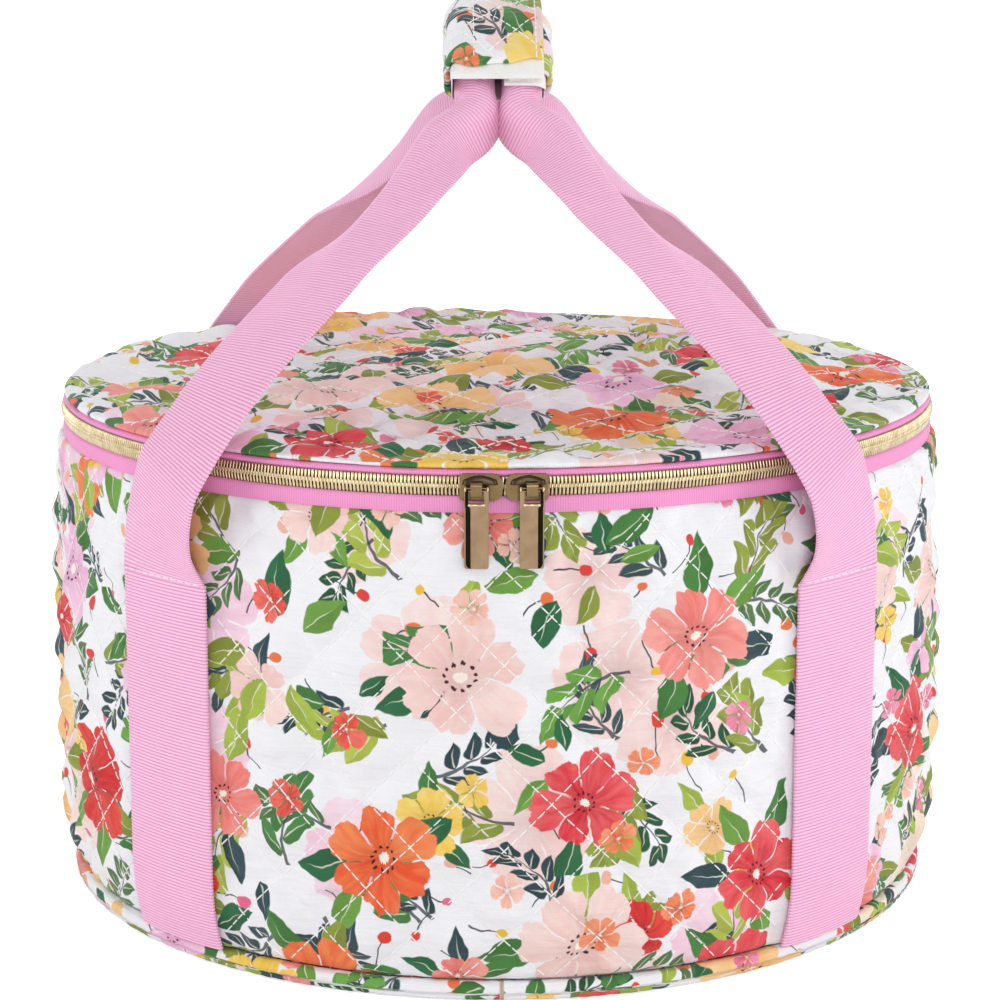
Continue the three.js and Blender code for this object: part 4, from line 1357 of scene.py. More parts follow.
@dataclass
class Disc:
    """A round quilted panel, as a mesh whose lines follow the quilting."""

    radius: float
    level: float
    crown: float
    up: int = 1
    print_x: float = 400.0
    print_y: float = 300.0
    cast_from: float = 25.0

    def sheet(self) -> tuple[Sheet, np.ndarray]:
        """The panel's face.

        Returns:
            The face, and which of its points are sewn down.
        """
        step, cells = QUILTING.step, QUILTING.cells
        reach = int(self.radius / step)
        i, j = np.meshgrid(np.arange(-reach, reach + 1), np.arange(-reach, reach + 1))
        inside = np.hypot(i, j) * step < self.radius - step * 0.55
        i, j = i[inside], j[inside]
        count = round(TURN * self.radius / step)
        turn = np.linspace(0, TURN, count, endpoint=False)
        ring = np.stack([np.cos(turn), np.sin(turn)], -1) * self.radius
        flat = np.vstack([np.stack([i, j], -1) * step, ring])
        first = len(i)
        points, _, faces, *_ = fill(flat, count, first)
        flat = np.array([tuple(p) for p in points])
        x, y = flat[:, 0], flat[:, 1]
        far = np.hypot(x, y) / self.radius
        sag = 0.9 * np.sin(x / 47 + 0.4) * np.sin(y / 39 + 1.1)
        sag = sag - 1.3 * np.exp(-(((y + 62) / 17) ** 2)) * (1 - far**4)
        height = self.level + self.up * self.crown * (1 - far**2) + sag * (1 - far**6) * (self.up > 0)
        grid_i, grid_j = np.round(x / step).astype(int), np.round(y / step).astype(int)
        on_grid = (np.abs(x / step - grid_i) < 0.01) & (np.abs(y / step - grid_j) < 0.01)
        lines = ((grid_i + grid_j) % (2 * cells) == 0) | ((grid_i - grid_j) % (2 * cells) == 0)
        held = ((on_grid & lines) | (far > 0.9995)).astype(float)
        faces = [face if self.up > 0 else face[::-1] for face in faces]
        fabric = np.stack([x + self.print_x, y + self.print_y, np.zeros_like(x)], -1)
        return Sheet(np.stack([x, y, height], -1), faces, fabric), held

    def swollen(self, swell: Inflation) -> Sheet:
        """The face with its puffs."""
        sheet, held = self.sheet()
        if self.up < 0:
            puff = QUILTING.pillow(sheet.points[:, 0], sheet.points[:, 1]) * QUILTING.puff
            puff *= 1 - smooth(np.hypot(sheet.points[:, 0], sheet.points[:, 1]), self.radius - 7, self.radius)
            sheet.points[:, 2] += self.up * (puff if self.up > 0 else np.minimum(puff, self.level - 0.1))
        else:
            sheet.points = swell.run(sheet, held)
        return sheet

    def solid(self, swell: Inflation, back: float) -> Sheet:
        """The panel with its turned edge and its back face.

        Args:
            swell: how the puffs are made.
            back: height of the back face.

        Returns:
            The closed panel.
        """
        sheet = self.swollen(swell)
        far = np.hypot(sheet.points[:, 0], sheet.points[:, 1])
        rim = np.flatnonzero(far > self.radius * 0.9995)
        rim = rim[np.argsort(np.arctan2(sheet.points[rim, 1], sheet.points[rim, 0]))]
        count = len(rim)
        turn = np.arctan2(sheet.points[rim, 1], sheet.points[rim, 0])
        rings = [(self.radius + 0.1, (self.level * 2 + back) / 3), (self.radius - 0.4, back)]
        loops = [rim]
        points, fabric = [sheet.points], [sheet.fabric]
        start = len(sheet.points)
        for k, (radius, height) in enumerate(rings):
            ring = np.stack([np.cos(turn) * radius, np.sin(turn) * radius, np.full(count, height)], -1)
            points.append(ring)
            fabric.append(ring + np.array([self.print_x, self.print_y, -height]))
            loops.append(np.arange(start + k * count, start + (k + 1) * count))
        faces = list(sheet.faces)
        for high, low in zip(loops, loops[1:]):
            for k in range(count):
                n = (k + 1) % count
                quad = (high[n], high[k], low[k], low[n])
                faces.append(quad if self.up > 0 else quad[::-1])
        reach = 10
        i, j = np.meshgrid(np.arange(-reach, reach + 1), np.arange(-reach, reach + 1))
        inside = np.hypot(i, j) < reach - 0.7
        lattice = np.stack([i[inside], j[inside]], -1) * self.radius / reach
        flat = np.vstack([points[-1][:, :2], lattice])
        _, _, back_faces, origin, *_ = fill(flat, count)
        first = int(loops[-1][0])
        points.append(np.column_stack([lattice, np.full(len(lattice), back)]))
        fabric.append(cloth_at(*(lattice + [self.print_x, self.print_y]).T))
        for face in back_faces:
            corners = tuple(first + origin[k][0] for k in face)
            faces.append(corners[::-1] if self.up > 0 else corners)
        return Sheet(np.vstack(points), faces, np.vstack(fabric))

    def thread(self, panel: bpy.types.Object, name: str) -> bpy.types.Object:
        """The quilting thread on the panel."""
        tree = surface_of(panel)
        lines, ways = [], []
        limit = self.radius - 2
        count = int(limit * math.sqrt(2) / QUILTING.diagonal) + 1
        for number in range(-count, count + 1):
            off = number * QUILTING.diagonal / math.sqrt(2)
            if abs(off) > limit - 4:
                continue
            half = math.sqrt(limit**2 - off**2)
            t = np.linspace(-half, half, 60)
            for lean in (-1, 1):
                x = (t * lean + off) / math.sqrt(2)
                y = (t - off * lean) / math.sqrt(2)
                height = self.level + self.up * self.cast_from
                lines.append(np.stack([x, y, np.full_like(x, height)], -1))
                ways.append(np.tile([0.0, 0.0, -float(self.up)], (len(t), 1)))
        return sew(tree, lines, ways, Stitching()).build(name, QUILT_THREAD)


def tidy_quads(piece: bpy.types.Object) -> None:
    """Joins pairs of triangles on a flat-laid mesh into quads."""
    work = bmesh.new()
    work.from_mesh(piece.data)
    bmesh.ops.join_triangles(
        work, faces=work.faces, angle_face_threshold=1.2, angle_shape_threshold=1.2, cmp_seam=False
    )
    work.to_mesh(piece.data)
    work.free()


def lining_disc(
    name: str, rim: tuple[float, float], level: float, back: float, ripple: tuple[float, float, float, float]
) -> bpy.types.Object:
    """A round lining with soft ripples.

    Args:
        name: the piece's name.
        rim: radii of its two outer rings.
        level: height of its open face.
        back: height of its hidden face.
        ripple: the ripples' height, their length, how far they sway and their number of lobes.

    Returns:
        The lining.
    """
    columns = 180
    rings = np.array([0.001, 30, 60, 90, 120, 140, *rim])[:, None]
    azimuth = np.linspace(0, TURN, columns, endpoint=False)[None]
    high, long, sway, lobes = ripple
    height = level + high * np.sin(rings / long + sway * np.sin(azimuth * lobes)) * (rings < 140)
    points = np.concatenate([polar(azimuth, rings, height), polar(azimuth, rings[::-1], back)]).reshape(-1, 3)
    faces = grid_faces(2 * len(rings), columns, round_columns=True)
    if level > back:
        faces = [face[::-1] for face in faces]
    return Sheet(points, faces, points * [1, 1, 0]).build(name, LINING)


@dataclass
class Base:
    """Quilted base with its bound seam and inner lining."""

    radius: float = 151.6
    level: float = 2.2
    back: float = 6.4
    binding_radius: float = 154.75
    binding_half: float = 2.75
    binding_middle: float = 3.6
    binding_rise: float = 3.0
    binding_print: float = 900.0

    def build(self) -> None:
        """Makes the base's pieces."""
        disc = Disc(self.radius, self.level, 0.0, up=-1)
        panel = disc.solid(Inflation(), self.back).build("base_quilt", PRINT)
        tidy_quads(panel)
        place(panel, Body.CARRIER, Slot.PRINT, "base_panel", "base_insulation", "base_board")
        place(disc.thread(panel, "base_quilting_thread"), Body.CARRIER, Slot.PRINT)
        place(self.binding(), Body.CARRIER, Slot.PRINT, "base_binding")
        lining = lining_disc("base_inner_lining", (146.5, 147.6), 9.8, 9.2, (0.25, 11, 3, 3))
        place(lining, Body.CARRIER, Slot.LINING, "base_lining")

    def binding(self) -> bpy.types.Object:
        """The bound seam: a rolled strip with small gathers."""
        rows, columns = 720, 18
        azimuth = np.linspace(0, TURN, rows, endpoint=False)
        turn = np.linspace(0, TURN, columns, endpoint=False)
        gather = 1 + 0.035 * np.sin(azimuth * 190) + 0.03 * np.sin(azimuth * 71 + 1.0)
        square = (np.abs(np.cos(turn)) ** 3 + np.abs(np.sin(turn)) ** 3) ** (-1 / 3)
        radius = self.binding_radius + self.binding_half * np.cos(turn)[None] * square[None] * gather[:, None]
        rise = self.binding_rise * np.sin(turn)[None] * square[None]
        height = self.binding_middle + rise * (gather[:, None] * 0.5 + 0.5)
        height = np.maximum(height, 0.3)
        points = polar(azimuth[:, None], radius, height).reshape(-1, 3)
        fabric = cloth_at(azimuth[:, None] * 155 + self.binding_print, (turn * self.binding_half)[None])
        faces = grid_faces(rows, columns, round_rows=True, round_columns=True)
        return Sheet(points, faces, fabric).build("base_seam_binding", PRINT)


@dataclass
class ZipChain:
    """Zip tapes, rows of teeth, and the cloth hinge at the back."""

    radius: float = 156.0
    half_arc: float = math.radians(156.0)
    row_foot: float = 168.3
    row_top: float = 174.4
    flange_top: float = 176.3
    flange_inner: float = 148.0
    tape: float = 1.0
    pitch: float = 1.22
    tooth_depth: float = 3.0
    tooth_height: float = 3.75
    end_turn: float = 0.03
    end_gap: float = 0.3
    tape_foot: float = 150.0

    def build(self) -> None:
        """Makes the tapes, the teeth and the hinge."""
        reach = self.half_arc - self.end_gap / self.radius
        lower = np.array([
            (self.radius, self.tape_foot), (self.radius, 158.0), (self.radius + 0.25, 163.0),
            (self.radius + 0.45, 165.6), (self.radius + 0.1, 168.1),
        ])
        upper = self.flange(self.row_top + 0.2)
        for word, line, step, body in (("lower", lower, 1.2, Body.CARRIER), ("upper", upper, 0.8, Body.LID)):
            outline = band_outline(resample(line, step), self.tape)
            piece = revolve(outline, -reach, reach, 240, self.radius)
            piece.fabric = piece.fabric[:, [1, 0, 2]]
            place(piece.build(f"{word}_tape", TAPE), body, Slot.TAPE, f"{word}_zipper_tape")
        for word, way, body in (("lower", 1, Body.CARRIER), ("upper", -1, Body.LID)):
            row = self.teeth(way).build(f"{word}_teeth", TOOTH_GOLD)
            place(row, body, Slot.GOLD, f"{word}_zipper_teeth")
        self.hinge()

    def flange(self, foot: float) -> np.ndarray:
        """Line of the upper tape: up from its foot and in over the lid's edge."""
        top = self.flange_top - self.tape / 2
        return rounded([(self.radius, foot), (self.radius + 0.15, top), (self.flange_inner, top - 0.3)], 1.6)

    def teeth(self, way: int) -> Sheet:
        """One row of teeth.

        Args:
            way: 1 for the lower row, whose heads point up, and -1 for the upper one.

        Returns:
            The row.
        """
        count = int(2 * (self.half_arc - self.end_turn) * self.radius / self.pitch)
        step = 2 * (self.half_arc - self.end_turn) / count
        number = np.arange(count)
        azimuth = -self.half_arc + self.end_turn + step * (number + (0.25 if way > 0 else 0.75))
        root = self.row_foot if way > 0 else self.row_top
        outline = np.array([(-0.42, 0.0), (0.42, 0.0), (0.48, 0.7), (0.42, 2.0), (0.38, 3.35), (0.2, 3.75),
                            (-0.2, 3.75), (-0.38, 3.35), (-0.42, 2.0), (-0.48, 0.7)])
        half = self.tooth_depth / 2
        layers = [(-half, 0.7), (-half + 0.35, 1.0), (half - 0.35, 1.0), (half, 0.7)]
        middle = np.array([0.0, 1.85])
        shape = np.array([[*((outline[k] - middle) * [s, 0.92 if s < 1 else 1] + middle), d]
                          for d, s in layers for k in range(len(outline))])
        azimuths = azimuth[:, None] + shape[None, :, 0] / self.radius
        dome = 0.5 + 0.5 * shape[None, :, 1] / self.tooth_height
        radius = self.radius + shape[None, :, 2] * dome
        points = polar(azimuths, radius, root + way * shape[None, :, 1]).reshape(-1, 3)
        size = len(outline)
        one = grid_faces(4, size, round_columns=True) + caps(size, 4 * size)
        if way < 0:
            one = [face[::-1] for face in one]
        faces = [tuple(i + n * 4 * size for i in face) for n in range(count) for face in one]
        return Sheet(points, [f[::-1] for f in faces], points.copy())

    def hinge(self) -> None:
        """The cloth strip that joins the lid to the wall at the back."""
        half = math.pi - self.half_arc - self.end_gap / self.radius
        outline = band_outline(resample(self.flange(self.tape_foot), 1.0), self.tape)
        strip = revolve(outline, math.pi - half, math.pi + half, 60, self.radius)
        strip.fabric = strip.fabric + [120, 700, 0]
        piece = strip.build("hinge_cloth", PRINT)
        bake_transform(piece)
        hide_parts("hinge_strip")
        LOG.info("%s bends between the wall and the lid", piece.name)


@dataclass
class Lid:
    """Quilted lid with its lining and inner binding."""

    radius: float = 156.2
    level: float = 178.2
    crown: float = 2.2
    back: float = 176.1

    def build(self) -> None:
        """Makes the lid's pieces."""
        disc = Disc(self.radius, self.level, self.crown)
        panel = disc.solid(Inflation(), self.back).build("lid_quilt", PRINT, subdivide=1)
        tidy_quads(panel)
        place(panel, Body.LID, Slot.PRINT, "lid_panel", "lid_insulation")
        place(disc.thread(panel, "lid_quilting_thread"), Body.LID, Slot.PRINT)
        lining = lining_disc("lid_inner_lining", (148.5, 150.4), 171.8, 172.45, (0.2, 9, 2, 4))
        place(lining, Body.LID, Slot.LINING, "lid_lining")
        ring = rounded([(148.0, 172.8), (150.5, 172.8), (150.5, 175.5), (148.0, 175.5)], 0.7)
        binding = revolve(ring[::-1], 0, TURN, 180, 148).build("lid_inner_binding", LINING)
        place(binding, Body.LID, Slot.LINING, "lid_binding")


STRAP_SHARES = np.array(
    [-1, -0.98, -0.93, -0.8, -0.6, -0.4, -0.2, 0, 0.2, 0.4, 0.6, 0.8, 0.93, 0.98, 1]
)


@dataclass
class Webbing:
    """Ribbed webbing: four sewn legs and two handle straps that run through the grip."""

    wall: SideWall
    width: float = 40.0
    thickness: float = 1.8
    rib: float = 1.15
    relief: float = 0.11
    stand_off: float = 0.3
    ease: float = 13.0
    stitch_height: float = 133.0
    rim_azimuth: float = math.radians(36.8)
    rim_radius: float = 167.4
    run_foot: float = 180.94
    # Stations at the rim: azimuth, radius, height, the face's azimuth and tilt, and wrap
    root: tuple[tuple[float, float, float, float, float, float], ...] = (
        (42.84, 164.9, 148.3, 58.5, 1.0, 0.5),
        (40.64, 166.9, 165.5, 56.5, 8.6, 0.15),
        (40.09, 166.2, 169.8, 53.7, 26.0, 0.0),
    )
    # Stations up to the grip: share of the way, the face's azimuth and tilt, fold, bow and lift
    run: tuple[tuple[float, float, float, float, float, float], ...] = (
        (0.14, 53.0, 48.3, 0.0, 1.3, 2.1),
        (0.45, 51.0, 48.1, 0.08, -1.8, 3.3),
        (0.72, 65.7, 42.1, 0.36, -1.0, 0.1),
        (0.92, 62.0, 33.0, 0.76, 0.0, 0.0),
    )
    fold_radius: float = 6.2
    fold_run_out: float = 3.0
    mouth_spread: float = 7.0
    fold_plane: float = 178.0
    fold_x: float = 0.1113

    def build(self, grip: "Grip") -> None:
        """Makes the legs and the handles."""
        for at_back, word in ((False, "front"), (True, "back")):
            for side in Side:
                self.leg(side, at_back, word)
        for side in Side:
            self.handle(side, grip)

    def section(self, fold: float, wrap: float) -> tuple[np.ndarray, np.ndarray]:
        """The strap's section, flat or bent over a ridge.

        Args:
            fold: share of a half turn that it is bent by.
            wrap: share of the wall's curve that it follows.

        Returns:
            Its closed outline, and which way each point leaves the strap's middle.
        """
        across = STRAP_SHARES * self.width / 2
        thick = self.thickness / 2 * np.clip(1.25 - np.abs(STRAP_SHARES) ** 40 - 0.25, 0.35, 1)
        curved = self.fold_radius * math.pi * fold / 2
        angle = np.clip(across, -curved, curved) / self.fold_radius
        straight = np.sign(across) * np.maximum(np.abs(across) - curved, 0)
        normal = np.stack([np.sin(angle), np.cos(angle)], -1)
        hang = wrap * across**2 / 2 / self.wall.radius
        middle = np.stack([
            self.fold_radius * np.sin(angle) + straight * np.cos(angle),
            self.fold_radius * (np.cos(angle) - 1) - straight * np.sin(angle) - hang,
        ], -1)
        outline = np.vstack([middle + normal * thick[:, None], (middle - normal * thick[:, None])[::-1]])
        way = np.vstack([normal, -normal[::-1]])
        return outline, way

    def ribbon(
        self, at: np.ndarray, face: np.ndarray, fold: np.ndarray, wrap: np.ndarray, along: np.ndarray
    ) -> Sheet:
        """Webbing along a line.

        Args:
            at: points of its middle line.
            face: ways that its outer face looks.
            fold: share of its fold at each point.
            wrap: share of the wall's curve at each point.
            along: directions of the line.

        Returns:
            The ribbed strap.
        """
        length = lengths(at)
        rows = int(length[-1] / self.rib) * 4 + 1
        place_on = np.linspace(0, length[-1], rows)
        at, face, along = (read_at(part, length, place_on) for part in (at, face, along))
        fold, wrap = np.interp(place_on, length, fold), np.interp(place_on, length, wrap)
        along = unit(along)
        face = unit(face - along * np.sum(face * along, 1, keepdims=True))
        across = unit(eased(np.cross(along, face), self.ease / (place_on[1] - place_on[0])))
        face = unit(face - across * np.sum(face * across, 1, keepdims=True))
        crest = np.abs(np.sin(math.pi * np.arange(rows) / 4)) ** 0.7 * 2 - 1
        points, cloth = [], []
        share = np.r_[STRAP_SHARES, STRAP_SHARES[::-1]] * self.width / 2
        size = len(share)
        selvedge = [0, size // 2 - 1, size // 2, size - 1]
        for row in range(rows):
            outline, way = self.section(float(fold[row]), float(wrap[row]))
            outline = outline + way * self.relief * crest[row]
            outline[selvedge, 0] *= 1 + 0.004 * crest[row]
            points.append(at[row] + outline[:, :1] * across[row] + outline[:, 1:] * face[row])
            cloth.append(cloth_at(share, place_on[row]))
        faces = grid_faces(rows, size, round_columns=True) + caps(size, rows * size)
        return Sheet(np.vstack(points), faces, np.vstack(cloth))

    def leg(self, side: Side, at_back: bool, word: str) -> None:
        """One leg, sewn flat on the wall."""
        azimuth = side.value * self.wall.leg_azimuth
        azimuth = math.pi - azimuth if at_back else azimuth
        count = 60
        height = np.linspace(self.wall.foot, self.stitch_height, count)
        radius = self.wall.profile(height) + self.stand_off + self.thickness / 2
        at = polar(azimuth, radius, height)
        face = polar(np.full(count, azimuth), 1.0, 0.0)
        along = np.gradient(at, axis=0)
        sheet = self.ribbon(at, face, np.zeros(count), np.ones(count), along)
        name = f"{word}_{side.word}"
        piece = sheet.build(f"{name}_leg_webbing", WEBBING)
        place(piece, Body.CARRIER, Slot.WEBBING, f"{name}_strap_leg")
        place(self.bar_tack(azimuth).build(f"{name}_leg_stitches", PINK_THREAD), Body.CARRIER, Slot.WEBBING)

    def bar_tack(self, azimuth: float) -> Sheet:
        """The row of stitches across a leg's upper end."""
        across = np.linspace(-0.94, 0.94, 40) * self.width / 2
        height = np.full_like(across, self.stitch_height + 0.3)
        radius = self.wall.profile(height) + self.stand_off + self.thickness + 0.5
        stitching = Stitching(pitch=3.4, length=2.9, radius=0.36)
        begin, middle, end = stitching.spans(polar(azimuth + across / self.wall.radius, radius, height))
        up = middle * [1, 1, 0] / np.linalg.norm(middle[:, :2], axis=1, keepdims=True)
        return stitching.thread(begin, middle, end, up)

    def quarter(self, grip: "Grip") -> tuple[np.ndarray, np.ndarray, np.ndarray, np.ndarray]:
        """Stations of the right strap from the front stitch line to the top of the grip.

        Args:
            grip: the grip that the strap runs through.

        Returns:
            Places, faces, folds and wraps.
        """
        sewn = self.wall.leg_azimuth
        foot_radius = float(self.wall.profile(self.stitch_height)) + self.stand_off + self.thickness / 2

        def facing(azimuth: float, tilt: float) -> np.ndarray:
            """A direction by azimuth and tilt, in degrees."""
            return polar(math.radians(azimuth), math.cos(math.radians(tilt)), math.sin(math.radians(tilt)))

        stations = [(polar(sewn, foot_radius + 0.3, self.stitch_height - 0.7), polar(sewn, 1.0, 0.0), 0, 1)]
        for azimuth, radius, height, turned, tilt, wrap in self.root:
            stations.append((polar(math.radians(azimuth), radius, height), facing(turned, tilt), 0, wrap))
        half = grip.half_angle + self.fold_run_out / grip.arch_radius
        run_end = grip.arch(grip.strap_x + self.mouth_spread, half, grip.ridge)
        run_start = polar(self.rim_azimuth, self.rim_radius - 3, self.run_foot)
        for share, azimuth, tilt, fold, bow, lift in self.run:
            at = run_start + (run_end - run_start) * share + np.array([bow, 0, lift])
            stations.append((at, facing(azimuth, tilt), fold, 0))
        for angle in (half, grip.half_angle * 0.9, grip.half_angle / 2, 0.0):
            at = grip.arch(grip.strap_x, angle, grip.ridge)
            stations.append((at, np.array([0, -math.sin(angle), math.cos(angle)]), 1, 0))
        places, faces, folds, wraps = zip(*stations)
        return np.array(places), np.array(faces), np.array(folds, float), np.array(wraps, float)

    def handle(self, side: Side, grip: "Grip") -> None:
        """One handle strap, from its front stitch line through the grip to its back one."""
        at, face, fold, wrap = self.quarter(grip)
        flip = np.array([1, -1, 1])
        at = np.vstack([at, at[-2::-1] * flip])
        face = np.vstack([face, face[-2::-1] * flip])
        fold, wrap = np.r_[fold, fold[-2::-1]], np.r_[wrap, wrap[-2::-1]]
        curve = spline(at)
        face, fold, wrap = follow(face), follow(fold[:, None])[:, 0], follow(wrap[:, None])[:, 0]
        along = np.gradient(curve, axis=0)
        along[0], along[-1] = (0, 0, 1), (0, 0, -1)
        sheet = self.ribbon(curve, face, np.clip(fold, 0, 1), np.clip(wrap, 0, 1), along)
        sheet.points = sheet.points * [side.value, 1, 1]
        if side is Side.LEFT:
            sheet.faces = [face[::-1] for face in sheet.faces]
        body = Body[f"{side.name}_HANDLE"]
        upper = sheet.build(f"{side.word}_handle_webbing", WEBBING)
        lower = sheet.build(f"{side.word}_handle_roots", WEBBING)
        for piece, keep_high in ((upper, True), (lower, False)):
            cut_at(piece, self.fold_plane, keep_high)
        place(upper, body, Slot.WEBBING, f"{side.word}_handle_strap")
        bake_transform(lower)
        LOG.info("%s bends between the wall and the handle", lower.name)


def spline(points: np.ndarray, steps: int = 12) -> np.ndarray:
    """A smooth line through points, with knots spaced by the root of their distance.

    Args:
        points: the points.
        steps: points on the line between two of them.

    Returns:
        The line.
    """
    ends = np.vstack([2 * points[0] - points[1], points, 2 * points[-1] - points[-2]])
    made = []
    for p0, p1, p2, p3 in zip(ends, ends[1:], ends[2:], ends[3:]):
        d0, d1, d2 = (max(np.linalg.norm(b - a) ** 0.5, 1e-6) for a, b in ((p0, p1), (p1, p2), (p2, p3)))
        m1 = ((p1 - p0) / d0 - (p2 - p0) / (d0 + d1) + (p2 - p1) / d1) * d1
        m2 = ((p2 - p1) / d1 - (p3 - p1) / (d1 + d2) + (p3 - p2) / d2) * d1
        t = np.linspace(0, 1, steps, endpoint=False)[:, None]
        start, end = 2 * t**3 - 3 * t**2 + 1, 3 * t**2 - 2 * t**3
        made.append(start * p1 + (t**3 - 2 * t**2 + t) * m1 + end * p2 + (t**3 - t**2) * m2)
    return np.vstack([*made, points[-1:]])


def eased(values: np.ndarray, spread: float) -> np.ndarray:
    """Values along a line, evened out over a spread in rows; both ends keep their values."""
    reach = int(min(3 * spread, len(values) - 1))
    weight = np.exp(-0.5 * (np.arange(-reach, reach + 1) / spread) ** 2)
    weight /= weight.sum()
    padded = np.pad(values, ((reach, reach), (0, 0)), mode="reflect", reflect_type="odd")
    return np.stack([np.convolve(padded[:, k], weight, "valid") for k in range(values.shape[1])], -1)


def follow(values: np.ndarray, steps: int = 12) -> np.ndarray:
    """Values at stations, eased over the same points as the smooth line."""
    at = np.arange((len(values) - 1) * steps + 1) / steps
    low = np.minimum(at.astype(int), len(values) - 2)
    share = (at - low)[:, None]
    share = share * share * (3 - 2 * share) * 0.5 + share * 0.5
    return values[low] * (1 - share) + values[low + 1] * share


def cut_at(piece: bpy.types.Object, height: float, keep_high: bool) -> None:
    """Cuts a piece's mesh at a height and keeps one part."""
    work = bmesh.new()
    work.from_mesh(piece.data)
    bmesh.ops.bisect_plane(
        work, geom=[*work.verts, *work.edges, *work.faces], dist=1e-7, plane_co=(0, 0, height * MM),
        plane_no=(0, 0, 1), clear_inner=keep_high, clear_outer=not keep_high,
    )
    work.to_mesh(piece.data)
    work.free()


@dataclass
class Grip:
    """Padded wrap round both straps, closed on top by a flap with hook and loop tape."""

    height: float = 298.0
    length: float = 83.0
    arch_radius: float = 46.0
    strap_x: float = 8.4
    ridge: float = 8.0
    side: float = 15.8
    top: float = 9.9
    bottom: float = -9.46
    lining_thickness: float = 0.5
    pad_thickness: float = 1.8
    fit: float = 0.3
    patch: float = 0.5
    hem: float = 4.6
    mouth_slope: float = 10.0
    soft_corner: float = 8.5
    diamond: float = 19.0
    underlap: float = 14.0
    setback: float = 2.0
    hinge_height: float = 291.0
    margin: float = 1.5
    cast_from: float = 6.0

    @property
    def half_angle(self) -> float:
        """Half the angle of the grip's arch."""
        return self.length / 2 / self.arch_radius

    @property
    def pad_middle(self) -> float:
        """Distance of the pad's middle outside the straps' room."""
        return self.lining_thickness + self.fit + self.pad_thickness / 2

    @property
    def flap_middle(self) -> float:
        """Height of the flap's middle over the middle of the section."""
        return self.top + self.pad_middle + self.pad_thickness + 2 * (self.fit + self.patch) + self.fit

    def arch(
        self, x: np.ndarray | float, angle: np.ndarray | float, rise: np.ndarray | float
    ) -> np.ndarray:
        """Points on the arch, by place across, angle to the front and height in the section."""
        x, angle, rise = np.broadcast_arrays(x, angle, rise)
        radius = self.arch_radius + rise
        centre = self.height - self.arch_radius
        return np.stack([x, -radius * np.sin(angle), centre + radius * np.cos(angle)], -1)

    def build(self) -> None:
        """Makes the wrap's pieces."""
        fabric_at = 1500.0
        lining = self.shell(self.wrap(self.lining_thickness / 2, 0.0), self.lining_thickness, 0.0, fabric_at)
        place(lining.build("grip_inner_lining", LINING), Body.LEFT_HANDLE, Slot.LINING, "grip_lining")
        inside = self.pad_thickness / 2 + 0.15
        facing = self.shell(lambda angle: self.flap_line(angle, inside, 0.0), 0.3, 0.0, fabric_at)
        place(facing.build("grip_flap_facing", LINING), Body.FLAP, Slot.LINING)
        for name, node, line, body, start, rows in (
            ("grip_wrap", "grip_pad", self.wrap(self.pad_middle, self.hem), Body.LEFT_HANDLE, fabric_at, ()),
            ("grip_wrap_flap", "grip_flap", self.flap_line, Body.FLAP, fabric_at + 60, (2.6, 24.0)),
        ):
            piece = self.shell(line, self.pad_thickness, 0.8, start, self.hem).build(name, PRINT, subdivide=1)
            place(piece, body, Slot.PRINT, node)
            place(self.quilting(piece, line, rows).build(f"{name}_thread", QUILT_THREAD), body, Slot.PRINT)
        loop_level = self.top + self.pad_middle + self.pad_thickness / 2 + self.fit + self.patch / 2
        left, right = self.side - self.underlap + self.margin, self.side - self.setback - self.margin
        for name, node, level, body in (
            ("loop_tape", "loop_patch", loop_level, Body.LEFT_HANDLE),
            ("hook_tape", "hook_patch", loop_level + self.patch + self.fit, Body.FLAP),
        ):
            line = np.array([(left, level), (right, level)])
            sheet = self.shell(lambda angle, line=line: resample(line, 1.0), self.patch, 0.0, 0.0)
            place(sheet.build(name, FLEECE), body, Slot.HOOK_AND_LOOP, node)

    def wrap(self, outside: float, hem: float) -> Callable[[float], np.ndarray]:
        """Section lines of a layer round the straps: left side from the flap's fold, bottom, right, tongue.

        Args:
            outside: the layer's distance.
            hem: how far its ends stay back.

        Returns:
            A function from the arch's angle to the line.
        """
        side = self.side + outside

        def line(angle: float) -> np.ndarray:
            """The line at an angle."""
            low = self.bottom - outside
            end = max(self.fold_level(angle, hem) - 1.0, low + 1.5 + outside)
            corners = [(-side, end), (-side, low), (side, low), (side, self.top + outside),
                       (self.side - self.underlap, self.top + outside)]
            return even(rounded(corners, (1.4 + outside, 1.4 + outside, 5.0 + outside), 8), 96)

        return line

    def fold_level(self, angle: float, hem: float) -> float:
        """Height in the section of the straight line that the flap folds on."""
        placed = angle * (1 - hem / (self.length / 2))
        level = (self.hinge_height - self.height + self.arch_radius) / math.cos(placed) - self.arch_radius
        return min(level, self.flap_middle - 2.5)

    def flap_line(self, angle: float, inside: float = 0.0, hem: float | None = None) -> np.ndarray:
        """The flap's section, or a line inside it: the upper part of the left side and the top."""
        side, level = self.side + self.pad_middle - inside, self.flap_middle - inside
        start = self.fold_level(angle, self.hem if hem is None else hem) + 0.15
        corners = [(-side, start), (-side, level), (self.side + self.pad_middle - self.setback, level)]
        return even(rounded(corners, min(self.soft_corner - inside, (level - start) * 0.95), 9), 60)

    @staticmethod
    def normals(section: np.ndarray) -> np.ndarray:
        """Ways out of a section line."""
        tangent = unit(np.gradient(section, axis=0))
        normal = np.stack([tangent[:, 1], -tangent[:, 0]], -1)
        return -normal if np.sum(normal * (section - section.mean(0))) < 0 else normal

